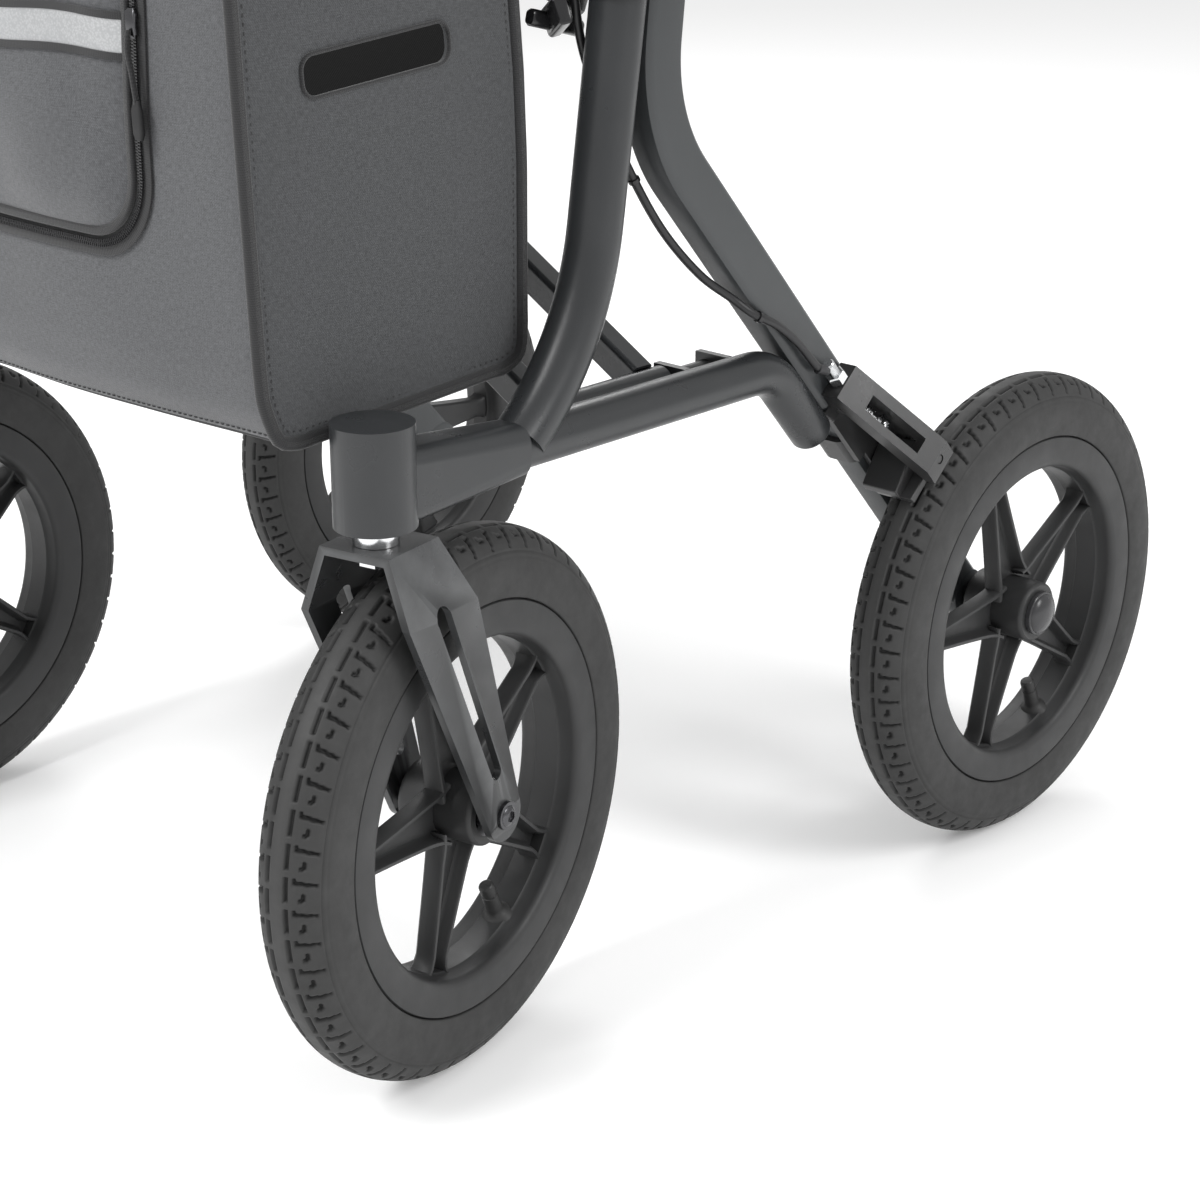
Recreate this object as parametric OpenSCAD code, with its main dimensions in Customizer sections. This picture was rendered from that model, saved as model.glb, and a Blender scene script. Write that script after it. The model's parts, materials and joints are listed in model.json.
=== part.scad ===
// Outdoor rollator: four-wheeled walker with a sideways cross-brace fold.
// Origin on the floor under the middle of the wheelbase. +Z up, the front (caster end) faces -Y,
// +X is the user's left. All sizes in millimetres.

/* [Wheels] */
// Outer radius of every tyre
wheel_r = 155; // [150:1:158]
// Width of a tyre across the sidewalls
tyre_w = 44; // [40:1:46]
// Radius where the tyre bead meets the rim flange
bead_r = 117; // [114:1:119]
// Inner radius of the rim barrel
barrel_r = 96; // [94:1:98]
// Half of the distance between the rear wheel middle planes
rear_x = 295; // [294:1:298]
// Distance of the rear axle behind the origin
rear_y = 230.4;

/* [Casters] */
// Sideways distance of each swivel axis from the middle
head_x = 260; // [259:1:262]
// Position of the swivel axes along the length, negative is forward
head_y = -292.4;
// Distance from the swivel axis back to the caster axle
trail = 62; // [60:1:64]
// Steering angle of the left caster at rest
yaw_left = 11.3; // [0:0.1:15]
// Steering angle of the right caster at rest
yaw_right = 3.5; // [0:0.1:15]
// Thickness of the fork plate
fork_t = 4.5; // [4:0.1:5]

/* [Frame] */
// Radius of the lower side tube
low_r = 13; // [12.5:0.5:13.5]
// Height of the lower side tube above the floor
low_z = 351; // [350:0.5:352]
// Radius of the front upright tube
up_r = 15; // [14.5:0.5:15.5]
// Lean of the front upright from vertical
up_lean = 8.6; // [8.4:0.1:8.8]
// Height of the top of the front upright
up_top = 720; // [700:5:730]

/* [Seat and fold] */
// Angle of the cross links above level when the frame is open
link_angle = 30; // [29:0.5:31]
// Sideways distance of the lower fold pivots from the middle
piv_x = 236; // [235:0.5:237]
// Height of the lower fold pivots
piv_z = 352; // [351:0.5:353]
// Sideways distance of the seat rails from the middle
rail_x = 225; // [223:0.5:226]

/* [Bag] */
// Half width of the shopping bag
bag_hw = 230; // [226:1:231]
// Height of the rim of the shopping bag
bag_top = 604; // [590:1:610]

/* [Hidden] */
$fn = 64;
link_tan = tan(link_angle);
cen_z = piv_z + piv_x * link_tan;
rail_z = piv_z + (piv_x + rail_x) * link_tan;
head_zb = 332;
head_zt = 386;
// Unit directions of the upright and of the rear leg
up_c = cos(up_lean);
up_s = sin(up_lean);
// Upright axis: passes through (y, z) = (-126, 490)
function up_y(z) = -126 + (z - 490) * up_s / up_c;
leg_x = 254;
up_sweep = 36;
knob_z = 698;
leg_lean = 6.5;
leg_down = 42;
// Bar stations of the two cross frames along the length
bar_a = [-143, -62];
bar_b = [-125, -80];
bar_w = 16;
bar_h = 18;

// ---------- shared helpers ----------
module side(s) { if (s > 0) children(); else mirror([1, 0, 0]) children(); }
// Moves a caster part from the wheel's own frame to its place: local origin on the swivel axis, +Y is the trail
module caster(s) { translate([s * head_x, head_y, 0]) rotate([0, 0, s > 0 ? yaw_left : yaw_right]) children(); }
// Cylinder along X
module xcyl(r, x0, x1) { translate([x0, 0, 0]) rotate([0, 90, 0]) cylinder(r = r, h = x1 - x0); }
// Cylinder along Y
module ycyl(r, y0, y1) { translate([0, y0, 0]) rotate([-90, 0, 0]) cylinder(r = r, h = y1 - y0); }
module ring2(ro, ri) { difference() { circle(r = ro); circle(r = ri); } }
module rrect(w, h, r) {
  square([w - 2 * r, h], center = true);
  square([w, h - 2 * r], center = true);
  for (i = [-1, 1], j = [-1, 1]) translate([i * (w / 2 - r), j * (h / 2 - r)]) circle(r = r, $fn = 32);
}

// ---------- wheels ----------
// Outline of the tyre section, in (radius, width) coordinates
function tyre_outline(r, hw, br) = [
  [br, -hw + 3.5], [br + 5, -hw + 0.8], [br + 12, -hw], [br + 19, -hw + 0.8], [br + 26, -hw + 4], [r - 7, -hw + 8], [r - 2.6, -hw + 13.5], [r - 0.6, -hw + 18],
  [r, -1.5], [r, 1.5], [r - 0.6, hw - 18], [r - 2.6, hw - 13.5], [r - 7, hw - 8], [br + 26, hw - 4], [br + 19, hw - 0.8], [br + 12, hw], [br + 5, hw - 0.8], [br, hw - 3.5]];
module tyre_solid() {
  rotate([0, 90, 0]) rotate_extrude($fn = 96) difference() {
    polygon(tyre_outline(wheel_r, tyre_w / 2, bead_r));
    translate([bead_r + 16.2, 0]) circle(r = 15.6, $fn = 48);
    translate([bead_r - 1, -8]) square([10, 16]);
  }
}
module inner_tube_solid() {
  // toroidal air tube with its rubber valve stem
  rotate([0, 90, 0]) rotate_extrude($fn = 96) translate([bead_r + 16.2, 0]) difference() { circle(r = 15.3, $fn = 48); circle(r = 13.3, $fn = 48); }
  rotate([valve_turn, 0, 0]) translate([0, 0, 82]) cylinder(r = 4, h = bead_r + 3.4 - 82);
  rotate([valve_turn, 0, 0]) translate([0, 0, 76]) cylinder(r = 2.8, h = 6);
}
valve_turn = 205;
module spokes2d(w0, w1, y0) { for (i = [0:4]) rotate(i * 72 + 18) polygon([[-w0, y0], [-w1, barrel_r + 3], [w1, barrel_r + 3], [w0, y0]]); }
module rim_solid(hub_half_in, hub_half_out) {
  difference() {
    union() {
      rotate([0, 90, 0]) rotate_extrude($fn = 96) polygon([
        [barrel_r + 1, -19], [bead_r - 1, -20.5], [bead_r - 0.2, -19.5], [bead_r - 0.2, -17.4], [bead_r - 8, -15.5], [bead_r - 10, -7], [bead_r - 10, 7], [bead_r - 8, 15.5],
        [bead_r - 0.2, 17.4], [bead_r - 0.2, 19.5], [bead_r - 1, 20.5], [barrel_r + 1, 19], [barrel_r, 16], [barrel_r, -16]]);
      xcyl(20, -hub_half_in, hub_half_out);
      translate([-5, 0, 0]) rotate([90, 0, 90]) linear_extrude(5.5) spokes2d(17, 7, 16);
      rotate([90, 0, 90]) linear_extrude(8) difference() { spokes2d(16.6, 6.6, 16.5); spokes2d(12.4, 3.4, 13); circle(r = 16.3); }
    }
    xcyl(14.05, -60, 60);
    rotate([valve_turn, 0, 0]) translate([0, 0, 86]) cylinder(r = 4.15, h = 40);
  }
}
// Domed cap turned about X: ball of radius rs centred c before the face, trimmed to radius rc, from x0 outward
module dome(rs, c, rc, x0) { rotate([0, 90, 0]) rotate_extrude() intersection() { translate([0, -c]) circle(r = rs); translate([0, x0]) square([rc, 30]); } }
module bearing_at(x) { translate([x, 0, 0]) rotate([0, 90, 0]) difference() { cylinder(r = 14, h = 8); translate([0, 0, -1]) cylinder(r = 6, h = 10); } }
module front_wheel_pos(s) { caster(s) translate([0, trail, wheel_r]) children(); }
module rear_wheel_pos(s) { side(s) translate([rear_x, rear_y, wheel_r]) children(); }

module front_tyre(s) { color("#3b3b3d") front_wheel_pos(s) tyre_solid(); }
module rear_tyre(s) { color("#3b3b3d") rear_wheel_pos(s) tyre_solid(); }
module front_rim(s) { color("#505254") front_wheel_pos(s) rim_solid(24, 24); }
module rear_rim(s) { color("#505254") rear_wheel_pos(s) rim_solid(22, 24); }
module front_inner_tube(s) { color("#2a2a2b") front_wheel_pos(s) inner_tube_solid(); }
module rear_inner_tube(s) { color("#2a2a2b") rear_wheel_pos(s) inner_tube_solid(); }
module hub_cap(s) {
  color("#3a3b3d") rear_wheel_pos(s) translate([24, 0, 0]) difference() {
    union() { xcyl(14.5, 0, 3); dome(19.5, 10.5, 15, 1); }
    xcyl(10.5, -1, 4);
  }
}
module button_head() { difference() { union() { xcyl(8, 0, 2.2); dome(10, 5.6, 6, 1); } translate([2.4, 0, 0]) rotate([0, 90, 0]) cylinder(r = 3.4, h = 6, $fn = 6); } }
module front_axle(s) {
  color("#8d8f92") front_wheel_pos(s) {
    xcyl(5.95, -35, 35); xcyl(8.5, -15.9, 15.9); xcyl(8.5, 24.1, 29.4); xcyl(8.5, -29.4, -24.1);
    translate([34.1, 0, 0]) button_head();
    translate([-34.1, 0, 0]) mirror([1, 0, 0]) button_head();
    bearing_at(16); bearing_at(-24);
  }
}
module rear_axle(s) {
  color("#8d8f92") rear_wheel_pos(s) {
    xcyl(5.95, -50, 24); xcyl(8.5, -29.4, -22.1); xcyl(8.5, -13.9, 15.9);
    bearing_at(-22); bearing_at(16);
    translate([24.2, 0, 0]) rotate([0, 90, 0]) cylinder(r = 9, h = 3.2, $fn = 6);
  }
}

// ---------- caster fork and stem ----------
module fork_side() {
  polygon([[-19, 323.2], [23.5, 323.2], [40, 287], [76.4, 159.1], [62, 155], [48.6, 148.4], [-20, 287]]);
  translate([trail, wheel_r]) circle(r = 15, $fn = 48);
}
module fork_slot() {
  polygon([[3.9, 284.7], [15, 288.4], [58.2, 184.8], [50.6, 180.8]]);
  translate([9.4, 286]) circle(r = 5.8, $fn = 32);
  translate([54.4, 183]) circle(r = 4.2, $fn = 32);
}
module fork(s) {
  color("#55585a") caster(s) difference() {
    intersection() {
      rotate([90, 0, 0]) translate([0, 0, -100]) linear_extrude(150) difference() {
        polygon([[-21.5, 323], [21.5, 323], [34, 287], [34, 130], [-34, 130], [-34, 287]]);
        polygon([[-18.3, 323 - fork_t], [18.3, 323 - fork_t], [34 - fork_t, 286.2], [34 - fork_t, 120], [-34 + fork_t, 120], [-34 + fork_t, 286.2]]);
      }
      translate([-50, 0, 0]) rotate([90, 0, 90]) linear_extrude(100) fork_side();
    }
    translate([-50, 0, 0]) rotate([90, 0, 90]) linear_extrude(100) fork_slot();
    translate([0, trail, wheel_r]) xcyl(6, -50, 50);
    translate([0, 0, 310]) cylinder(r = 6, h = 20);
  }
}
// Swivel bolt, its two bearings, spacer rings and the lock nut under the fork
module caster_stem(s) {
  color("#a9abad") caster(s) {
    translate([0, 0, 311.5]) cylinder(r = 5.95, h = 63);
    difference() { translate([0, 0, 312]) cylinder(r = 9.5, h = 6.2, $fn = 6); }
    difference() { translate([0, 0, 323.2]) cylinder(r = 12, h = 10.6); }
    difference() { translate([0, 0, 333.8]) cylinder(r = 13.95, h = 9); }
    difference() { translate([0, 0, 342.8]) cylinder(r = 8.5, h = 18); }
    difference() { translate([0, 0, 360.8]) cylinder(r = 13.95, h = 9); }
    translate([0, 0, 369.8]) cylinder(r = 9, h = 6, $fn = 6);
  }
}
// Head tube with its arm back to the lower side tube
module head_lug(s) {
  color("#46484a") side(s) difference() {
    union() {
      translate([head_x, head_y, head_zb]) cylinder(r = 21.5, h = head_zt - head_zb);
      hull() {
        translate([head_x, head_y + 4, 351.5]) rotate([-90, 0, 0]) linear_extrude(1) rrect(34, 41, 8);
        translate([head_x, -196, low_z]) rotate([-90, 0, 0]) linear_extrude(1) rrect(29, 29.5, 11);
      }
    }
    translate([head_x, head_y, head_zb - 1]) cylinder(r = 14, h = 46.5);
    translate([head_x, -250, low_z]) ycyl(low_r, 0, 80);
  }
}
// Low weld bead that joins two stretches of a tube; it stands in the plane where they meet
module bead(ro, ri) { translate([0, 0, -1]) linear_extrude(2) ring2(ro + 0.25, ri - 0.25); }
module lower_tube(s) {
  low_b = asin(0.5 / 38);
  color("#46484a") side(s) translate([head_x, 0, 0]) {
    translate([0, -250, low_z]) rotate([-90, 0, 0]) linear_extrude(249.5) ring2(low_r, low_r - 2.5);
    translate([0, 0, low_z]) rotate([-90, 0, 0]) bead(low_r, low_r - 2.5);
    translate([0, 0, low_z - 38]) rotate([0, 90, 0]) rotate([0, 0, 132 + low_b]) rotate_extrude(angle = 48 - 2 * low_b) translate([38, 0]) ring2(low_r, low_r - 2.5);
    translate([0, 38 * sin(48), low_z - 38 + 38 * cos(48)]) rotate([-48, 0, 0]) rotate([-90, 0, 0]) {
      bead(low_r, low_r - 2.5);
      translate([0, 0, 0.5]) linear_extrude(46) ring2(low_r, low_r - 2.5);
      translate([0, 0, 46]) cylinder(r = low_r + 0.25, h = 2.5);
    }
  }
}
module front_upright(s) {
  // leans back, then sweeps forward at the bottom into the arm
  up_b = asin(0.5 / 170);
  color("#46484a") side(s) translate([head_x, 0, 0]) {
    difference() {
      translate([0, up_y(459), 459]) rotate([-up_lean, 0, 0]) translate([0, 0, 0.5]) linear_extrude((up_top - 459) / up_c - 0.5) ring2(up_r, up_r - 2.45);
      translate([0, up_y(knob_z), knob_z]) xcyl(4.1, 5, 30);
    }
    translate([0, up_y(459), 459]) rotate([-up_lean, 0, 0]) bead(up_r, up_r - 2.45);
    translate([0, up_y(459) - 170 * up_c, 459 + 170 * up_s]) rotate([0, 90, 0]) rotate([0, 0, 90 - up_lean - up_sweep + up_b]) rotate_extrude(angle = up_sweep - 2 * up_b) translate([170, 0]) ring2(up_r, up_r - 2.45);
    translate([0, up_y(459) - 170 * up_c + 170 * cos(up_lean + up_sweep), 459 + 170 * up_s - 170 * sin(up_lean + up_sweep)])
      rotate([-up_lean - up_sweep, 0, 0]) { bead(up_r, up_r - 2.45); translate([0, 0, -12]) linear_extrude(11.5) ring2(up_r, up_r - 2.45); }
  }
}
module leg_section(g = 0) {
  // x of the section is across the leg in the side plane, y is sideways; the channel is on the front face
  difference() {
    rrect(30 + 2 * g, 22 + 2 * g, 6);
    translate([13.5 + g, 0]) square([7 - 2 * g, 7 - 2 * g], center = true);
    translate([-1.5, 0]) rrect(19 - 2 * g, 17 - 2 * g, 4);
  }
}
module leg_bead() { translate([0, 0, -1]) linear_extrude(2) leg_section(0.25); }
leg_vy = -85.5;
leg_vz = 506.5;
leg_t = 100 * tan((leg_down + leg_lean) / 2);
module rear_leg(s) {
  leg_b = asin(0.5 / 100);
  color("#4b4d4f") side(s) translate([leg_x, 0, 0]) {
    // upper straight stretch, bend, lower straight stretch down to the axle boss
    translate([0, leg_vy + leg_t * sin(leg_lean), leg_vz + leg_t * cos(leg_lean)]) {
      rotate([-leg_lean, 0, 0]) rotate([0, 0, -90]) { leg_bead(); translate([0, 0, 0.5]) linear_extrude(95.5) leg_section(); }
      translate([0, 100 * cos(leg_lean), -100 * sin(leg_lean)]) rotate([0, 90, 0]) rotate([0, 0, -90 - leg_lean + leg_b])
        rotate_extrude(angle = leg_down + leg_lean - 2 * leg_b) translate([100, 0]) leg_section();
    }
    difference() {
      translate([0, leg_vy + leg_t * sin(leg_down), leg_vz - leg_t * cos(leg_down)]) rotate([leg_down, 0, 0]) rotate([0, 0, -90]) {
        leg_bead();
        translate([0, 0, -470 + leg_t]) linear_extrude(469.5 - leg_t) leg_section();
      }
      translate([0, rear_y, wheel_r]) xcyl(14, -20, 20);
    }
    translate([0, rear_y, wheel_r]) difference() { xcyl(16, -12, 11.4); xcyl(6, -20, 20); }
  }
}

// Moulded clamp that joins the upright and the rear leg and carries the seat rail saddle, and the collar at the upright's top
module frame_clamp(s) {
  color("#2c2d2f") side(s) {
    difference() {
      union() {
        translate([259.25, -90, 618]) rotate([-7.5, 0, 0]) translate([0, 0, -27]) linear_extrude(54) rrect(37.5, 71, 9);
        translate([208, -114, 592]) cube([36, 23, 26]);
      }
      translate([head_x, up_y(560), 560]) rotate([-up_lean, 0, 0]) cylinder(r = up_r, h = 130);
      translate([leg_x, leg_vy, leg_vz]) rotate([-leg_lean, 0, 0]) translate([0, 0, 60]) linear_extrude(120) rrect(22.02, 30.02, 6);
      translate([rail_x, -130, rail_z + 0.3]) ycyl(11.3, 0, 60);
      translate([rail_x - 11.3, -130, rail_z + 0.3]) cube([22.6, 60, 40]);
    }
    difference() {
      translate([head_x, up_y(684), 684]) rotate([-up_lean, 0, 0]) difference() { cylinder(r = 19, h = 38.5); translate([0, 0, -1]) cylinder(r = up_r, h = 50); }
      translate([head_x, up_y(knob_z), knob_z]) xcyl(4.1, 5, 30);
    }
  }
}
// Ears on the lower tube with the fixed pivot rod of the cross-brace
module brace_mount(s) {
  color("#232426") side(s) difference() {
    union() {
      translate([piv_x, 0, piv_z]) ycyl(5.95, -161, -6);
      for (y = [-161, -47.5, -11]) translate([228, y, 342]) cube([24, 5, 20]);
    }
    translate([head_x, -200, low_z]) ycyl(low_r, 0, 199);
  }
}

// ---------- cross-brace ----------
link_len = (piv_x + rail_x) / cos(link_angle);
module cross_bars(ys) {
  difference() {
    translate([piv_x, 0, piv_z]) rotate([0, link_angle - 90, 0]) {
      for (y = ys) translate([0, y, 8]) linear_extrude(link_len - 18) difference() { rrect(bar_h, bar_w, 3); rrect(bar_h - 4, bar_w - 4, 1.6); }
      ycyl(10, -151, -50);
      for (y = ys) translate([0, 0, link_len]) ycyl(13.5, y - bar_w / 2, y + bar_w / 2);
      for (y = ys) translate([0, 0, piv_x / cos(link_angle)]) ycyl(8, y - bar_w / 2, y + bar_w / 2);
    }
    translate([piv_x, 0, piv_z]) ycyl(6, -200, 0);
    translate([-rail_x, 0, rail_z]) ycyl(11.05, -200, 0);
    translate([0, 0, cen_z]) ycyl(5.05, -200, 0);
  }
}
module cross_link_a() { color("#3c3e40") cross_bars(bar_a); }
module cross_link_b() { color("#3c3e40") mirror([1, 0, 0]) cross_bars(bar_b); }
// Bolts and lock nuts where the two cross frames are pinned together
module centre_bolts() {
  color("#a9abad") translate([0, 0, cen_z]) {
    for (p = [[bar_a[0] - 8, bar_b[0] + 8], [bar_b[1] - 8, bar_a[1] + 8]]) {
      ycyl(5, p[0] - 1, p[1] + 1);
      translate([0, p[0] - 3, 0]) rotate([-90, 0, 0]) cylinder(r = 9, h = 2.8, $fn = 6);
      translate([0, p[1] + 0.2, 0]) rotate([-90, 0, 0]) cylinder(r = 9, h = 4.8, $fn = 6);
    }
  }
}
module seat_rail(s) {
  color("#2c2d2f") side(s) translate([rail_x, 0, rail_z]) {
    rotate([-90, 0, 0]) translate([0, 0, -156]) linear_extrude(236) ring2(11, 9);
    ycyl(11, -160, -156);
    ycyl(11, 80, 84);
  }
}
module seat_sling() {
  color("#3a3b3d") translate([0, -36, rail_z + 14]) linear_extrude(6) rrect(470, 226, 18);
}
// ---------- bag ----------
module bag_side(g = 0) {
  // side outline in (y, z), inset by g
  polygon([[-300 + 0.6 * g, 374.5 + g], [-175, 383 + g], [-165 - 0.5 * g, 386.5 + g], [-158 - g, 396], [-156 - g, 500], [-158 - g, bag_top + (g > 0 ? 30 : 0)],
    [-344 + g, bag_top + (g > 0 ? 30 : 0)], [-345 + g, 575], [-338 + g, 410], [-331 + g, 390 + 0.6 * g], [-318 + g, 377.5 + g]]);
}
module shopping_bag() {
  color("#595b5e") difference() {
    translate([-bag_hw, 0, 0]) rotate([90, 0, 90]) linear_extrude(2 * bag_hw) bag_side();
    translate([-bag_hw + 4, 0, 0]) rotate([90, 0, 90]) linear_extrude(2 * bag_hw - 8) bag_side(4);
    for (s = [-1, 1]) translate([s * (bag_hw - 2), -256, 556.5]) rotate([4.9, 0, 0]) rotate([90, 0, 90]) translate([0, 0, -6]) linear_extrude(12) rrect(98, 20, 7);
  }
}
// Padded strap that the seated user leans against
module back_strap() {
  color("#3a3b3d") translate([0, 126.8, 702]) rotate([0, 0, 270 - 47.2]) rotate_extrude(angle = 94.4, $fn = 180) translate([324.8, 0]) rrect_up(7, 52, 3);
}
module rrect_up(w, h, r) { translate([0, h / 2]) rrect(w, h, r); }

// ---------- brakes ----------
// Brake frame: local +Y runs down the rear leg, +Z is square to it, X is unchanged
module brake_pos(s) { side(s) translate([0, 100.3, 300]) rotate([-48, 0, 0]) children(); }
tyre_dist = 195.4;
module brake_housing(s) {
  color("#2f3032") brake_pos(s) difference() {
    union() {
      translate([0, 0, -10]) linear_extrude(24) polygon([[265.2, -46], [277, -46], [314, 20], [314, 32], [265.2, 32]]);
      translate([0, 0, -17]) linear_extrude(7.5) polygon([[265.2, -34], [297, 14], [265.2, 14]]);
      translate([254, -6, 0]) rotate([-90, 0, 0]) linear_extrude(22) rrect(29, 37, 8);
    }
    translate([leg_x, -60, 0]) rotate([-90, 0, 0]) linear_extrude(110) rrect(22.3, 30.1, 6);
    // inner pocket, open towards the tyre and below
    translate([0, 0, -18]) linear_extrude(28) polygon([[269.5, -28], [274.5, -28], [309.5, 36], [309.5, 40], [269.5, 40]]);
    translate([0, 0, -25]) linear_extrude(16) polygon([[269.5, -20], [286, 9], [269.5, 9]]);
    // long window in the sloping outer face
    translate([293.5, -8, 1]) rotate([0, 0, 60.7]) cube([44, 20, 11], center = true);
    translate([0, 24, 3]) xcyl(3.05, 200, 330);
  }
}
// Brake lever arm with its rubber shoe; it turns on its own pin
module brake_arm(s) {
  color("#2a2b2c") brake_pos(s) {
    difference() {
      union() {
        translate([271, 0, 0]) rotate([90, 0, 90]) linear_extrude(26) polygon([[17.5, 8], [28, 8], [30.5, 3], [31, -26], [25, -26], [20, -6]]);
        translate([0, 24, 3]) xcyl(3, 262.5 + 3.5, 313.5);
      }
    }
    translate([277, 0, 0]) rotate([90, 0, 90]) linear_extrude(28) polygon([[31, -25], [36.6, -24], [36.2, -3], [31, -2]]);
  }
}
// Cable adjuster with its lock nut, return spring and cable clamp screw
module brake_fittings(s) {
  color("#b4b6b8") brake_pos(s) {
    translate([271.1, -62, 2]) ycyl(3.6, 0, 33);
    translate([271.1, -53, 2]) rotate([-90, 0, 0]) cylinder(r = 6.2, h = 6.6, $fn = 6);
    translate([272, -28, 2]) rotate([0, 0, -29.3]) { difference() { ycyl(3.4, 1, 17); ycyl(2.5, 0.5, 18); } ycyl(0.9, 0.2, 32); translate([0, 26, 0]) xcyl(3.4, -5, 4); }
  }
}
// ---------- brake cable ----------
// Route of the left cable from the lever mount down to the adjuster
cable_pts = [[270, -27, 881], [274, -52, 881], [277, -86, 868], [277, -118, 828], [275, -136, 776], [270, -144, 720], [262, -147, 672], [250, -142, 625],
  [243, -129, 580], [241, -119, 546], [244, -105, 512], [247, -92, 484], [250, -67, 446], [253, -38, 416], [259, -16, 399], [266, -5, 389],
  [268.5, 14, 379], [269.5, 34, 364], [270.6, 50, 348], [271.1, 58.8, 343.6]];
function cr(p0, p1, p2, p3, t) = 0.5 * (2 * p1 + (p2 - p0) * t + (2 * p0 - 5 * p1 + 4 * p2 - p3) * t * t + (3 * p1 - p0 - 3 * p2 + p3) * t * t * t);
function smooth_path(p, n) = concat([for (i = [0:len(p) - 2]) for (k = [0:n - 1]) cr(p[max(i - 1, 0)], p[i], p[i + 1], p[min(i + 2, len(p) - 1)], k / n)], [p[len(p) - 1]]);
function unit(v) = v / norm(v);
function tangent(p, i) = unit(p[min(i + 1, len(p) - 1)] - p[max(i - 1, 0)]);
module sweep(p, r, n = 8) {
  m = len(p);
  pts = [for (i = [0:m - 1]) let (t = tangent(p, i), a = unit(cross(t, [1, 0, 0])), b = cross(t, a)) for (k = [0:n - 1]) p[i] + r * (cos(360 * k / n) * a + sin(360 * k / n) * b)];
  faces = concat([for (i = [0:m - 2]) for (k = [0:n - 1]) [i * n + k, i * n + (k + 1) % n, (i + 1) * n + (k + 1) % n, (i + 1) * n + k]],
    [[for (k = [n - 1:-1:0]) k]], [[for (k = [0:n - 1]) (m - 1) * n + k]]);
  polyhedron(points = pts, faces = faces, convexity = 6);
}
module brake_cable(s) { color("#1e1f20") side(s) sweep(smooth_path(cable_pts, 4), 2.5); }

// ---------- handles ----------
hs = 150;
top_y = up_y(up_top);
hy = top_y + hs * up_s;
hz = up_top + hs * up_c;
gy = hy + 45 * up_c + 45 * sin(-175);
gz = hz - 45 * up_s - 45 * cos(-175);
// Grip frame: local +Z runs back along the grip, +Y points down
module grip_pos(s) { side(s) translate([head_x, gy, gz]) rotate([-85, 0, 0]) children(); }
module handle_tube(s) {
  hb = asin(0.5 / 45);
  color("#5a5d60") side(s) translate([head_x, 0, 0]) {
    translate([0, top_y, up_top]) rotate([-up_lean, 0, 0]) translate([0, 0, -125]) linear_extrude(125 + hs - 0.5) ring2(12.5, 10.7);
    translate([0, hy, hz]) rotate([-up_lean, 0, 0]) bead(12.5, 10.7);
    translate([0, hy + 45 * up_c, hz - 45 * up_s]) rotate([0, 90, 0]) rotate([0, 0, -175 + hb]) rotate_extrude(angle = 85 - up_lean - 2 * hb) translate([45, 0]) ring2(12.5, 10.7);
    translate([0, gy, gz]) rotate([-85, 0, 0]) { bead(12.5, 10.7); translate([0, 0, 0.5]) linear_extrude(140) ring2(12.5, 10.7); }
  }
}
module hand_grip(s) {
  color("#2b2b2c") grip_pos(s) difference() {
    union() {
      translate([0, 0, 22]) cylinder(r = 15.5, h = 119);
      translate([0, 0, 22]) cylinder(r = 17.5, h = 4);
      translate([0, 0, 139]) cylinder(r = 15.2, h = 7);
    }
    translate([0, 0, 20]) cylinder(r = 12.5, h = 120.2);
  }
}
module lever_mount(s) {
  color("#262728") grip_pos(s) difference() {
    union() {
      translate([0, 0, -1]) cylinder(r = 16.5, h = 22);
      translate([-10, 12, 0]) cube([20, 22, 19]);
      translate([10, 25.5, 0]) rotate([0, 0, 0]) cylinder(r = 5, h = 14);
    }
    translate([0, 0, -5]) cylinder(r = 12.5, h = 40);
    translate([-5.2, 18, -5]) cube([10.4, 30, 40]);
    translate([0, 27, 11]) xcyl(3.05, -30, 30);
  }
}
module brake_lever(s) {
  color("#77797c") grip_pos(s) {
    difference() {
      translate([-4.8, 0, 0]) rotate([90, 0, 90]) linear_extrude(9.6) union() {
        polygon([[21, 5], [33, 5], [35, 16], [45, 40], [50, 90], [47, 118], [41, 121], [41.5, 88], [37, 46], [29, 24], [21, 20]]);
        translate([27, 11]) circle(r = 6.6, $fn = 32);
        translate([44, 119]) circle(r = 4.2, $fn = 32);
      }
    }
    translate([0, 27, 11]) xcyl(3, -12, 12);
  }
}
module height_knob(s) {
  color("#222324") side(s) translate([head_x, up_y(knob_z), knob_z]) {
    xcyl(4, 12.9, 24);
    xcyl(8, 19.5, 24);
    difference() { xcyl(16, 24, 38); for (i = [0:5]) rotate([i * 60, 0, 0]) translate([0, 0, 18.5]) xcyl(5, 20, 40); }
  }
}

head_lug(1);  // head_lug_left
head_lug(-1);  // head_lug_right
lower_tube(1);  // lower_tube_left
lower_tube(-1);  // lower_tube_right
front_upright(1);  // front_upright_left
front_upright(-1);  // front_upright_right
rear_leg(1);  // rear_leg_left
rear_leg(-1);  // rear_leg_right
frame_clamp(1);  // frame_clamp_left
frame_clamp(-1);  // frame_clamp_right
brace_mount(1);  // brace_mount_left
brace_mount(-1);  // brace_mount_right
cross_link_a();
cross_link_b();
centre_bolts();
seat_rail(1);  // seat_rail_left
seat_rail(-1);  // seat_rail_right
seat_sling();
shopping_bag();
back_strap();
fork(1);  // fork_left
fork(-1);  // fork_right
caster_stem(1);  // caster_stem_left
caster_stem(-1);  // caster_stem_right
front_axle(1);  // front_axle_left
front_axle(-1);  // front_axle_right
front_rim(1);  // front_rim_left
front_rim(-1);  // front_rim_right
front_tyre(1);  // front_tyre_left
front_tyre(-1);  // front_tyre_right
front_inner_tube(1);  // front_inner_tube_left
front_inner_tube(-1);  // front_inner_tube_right
rear_axle(1);  // rear_axle_left
rear_axle(-1);  // rear_axle_right
rear_rim(1);  // rear_rim_left
rear_rim(-1);  // rear_rim_right
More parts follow.
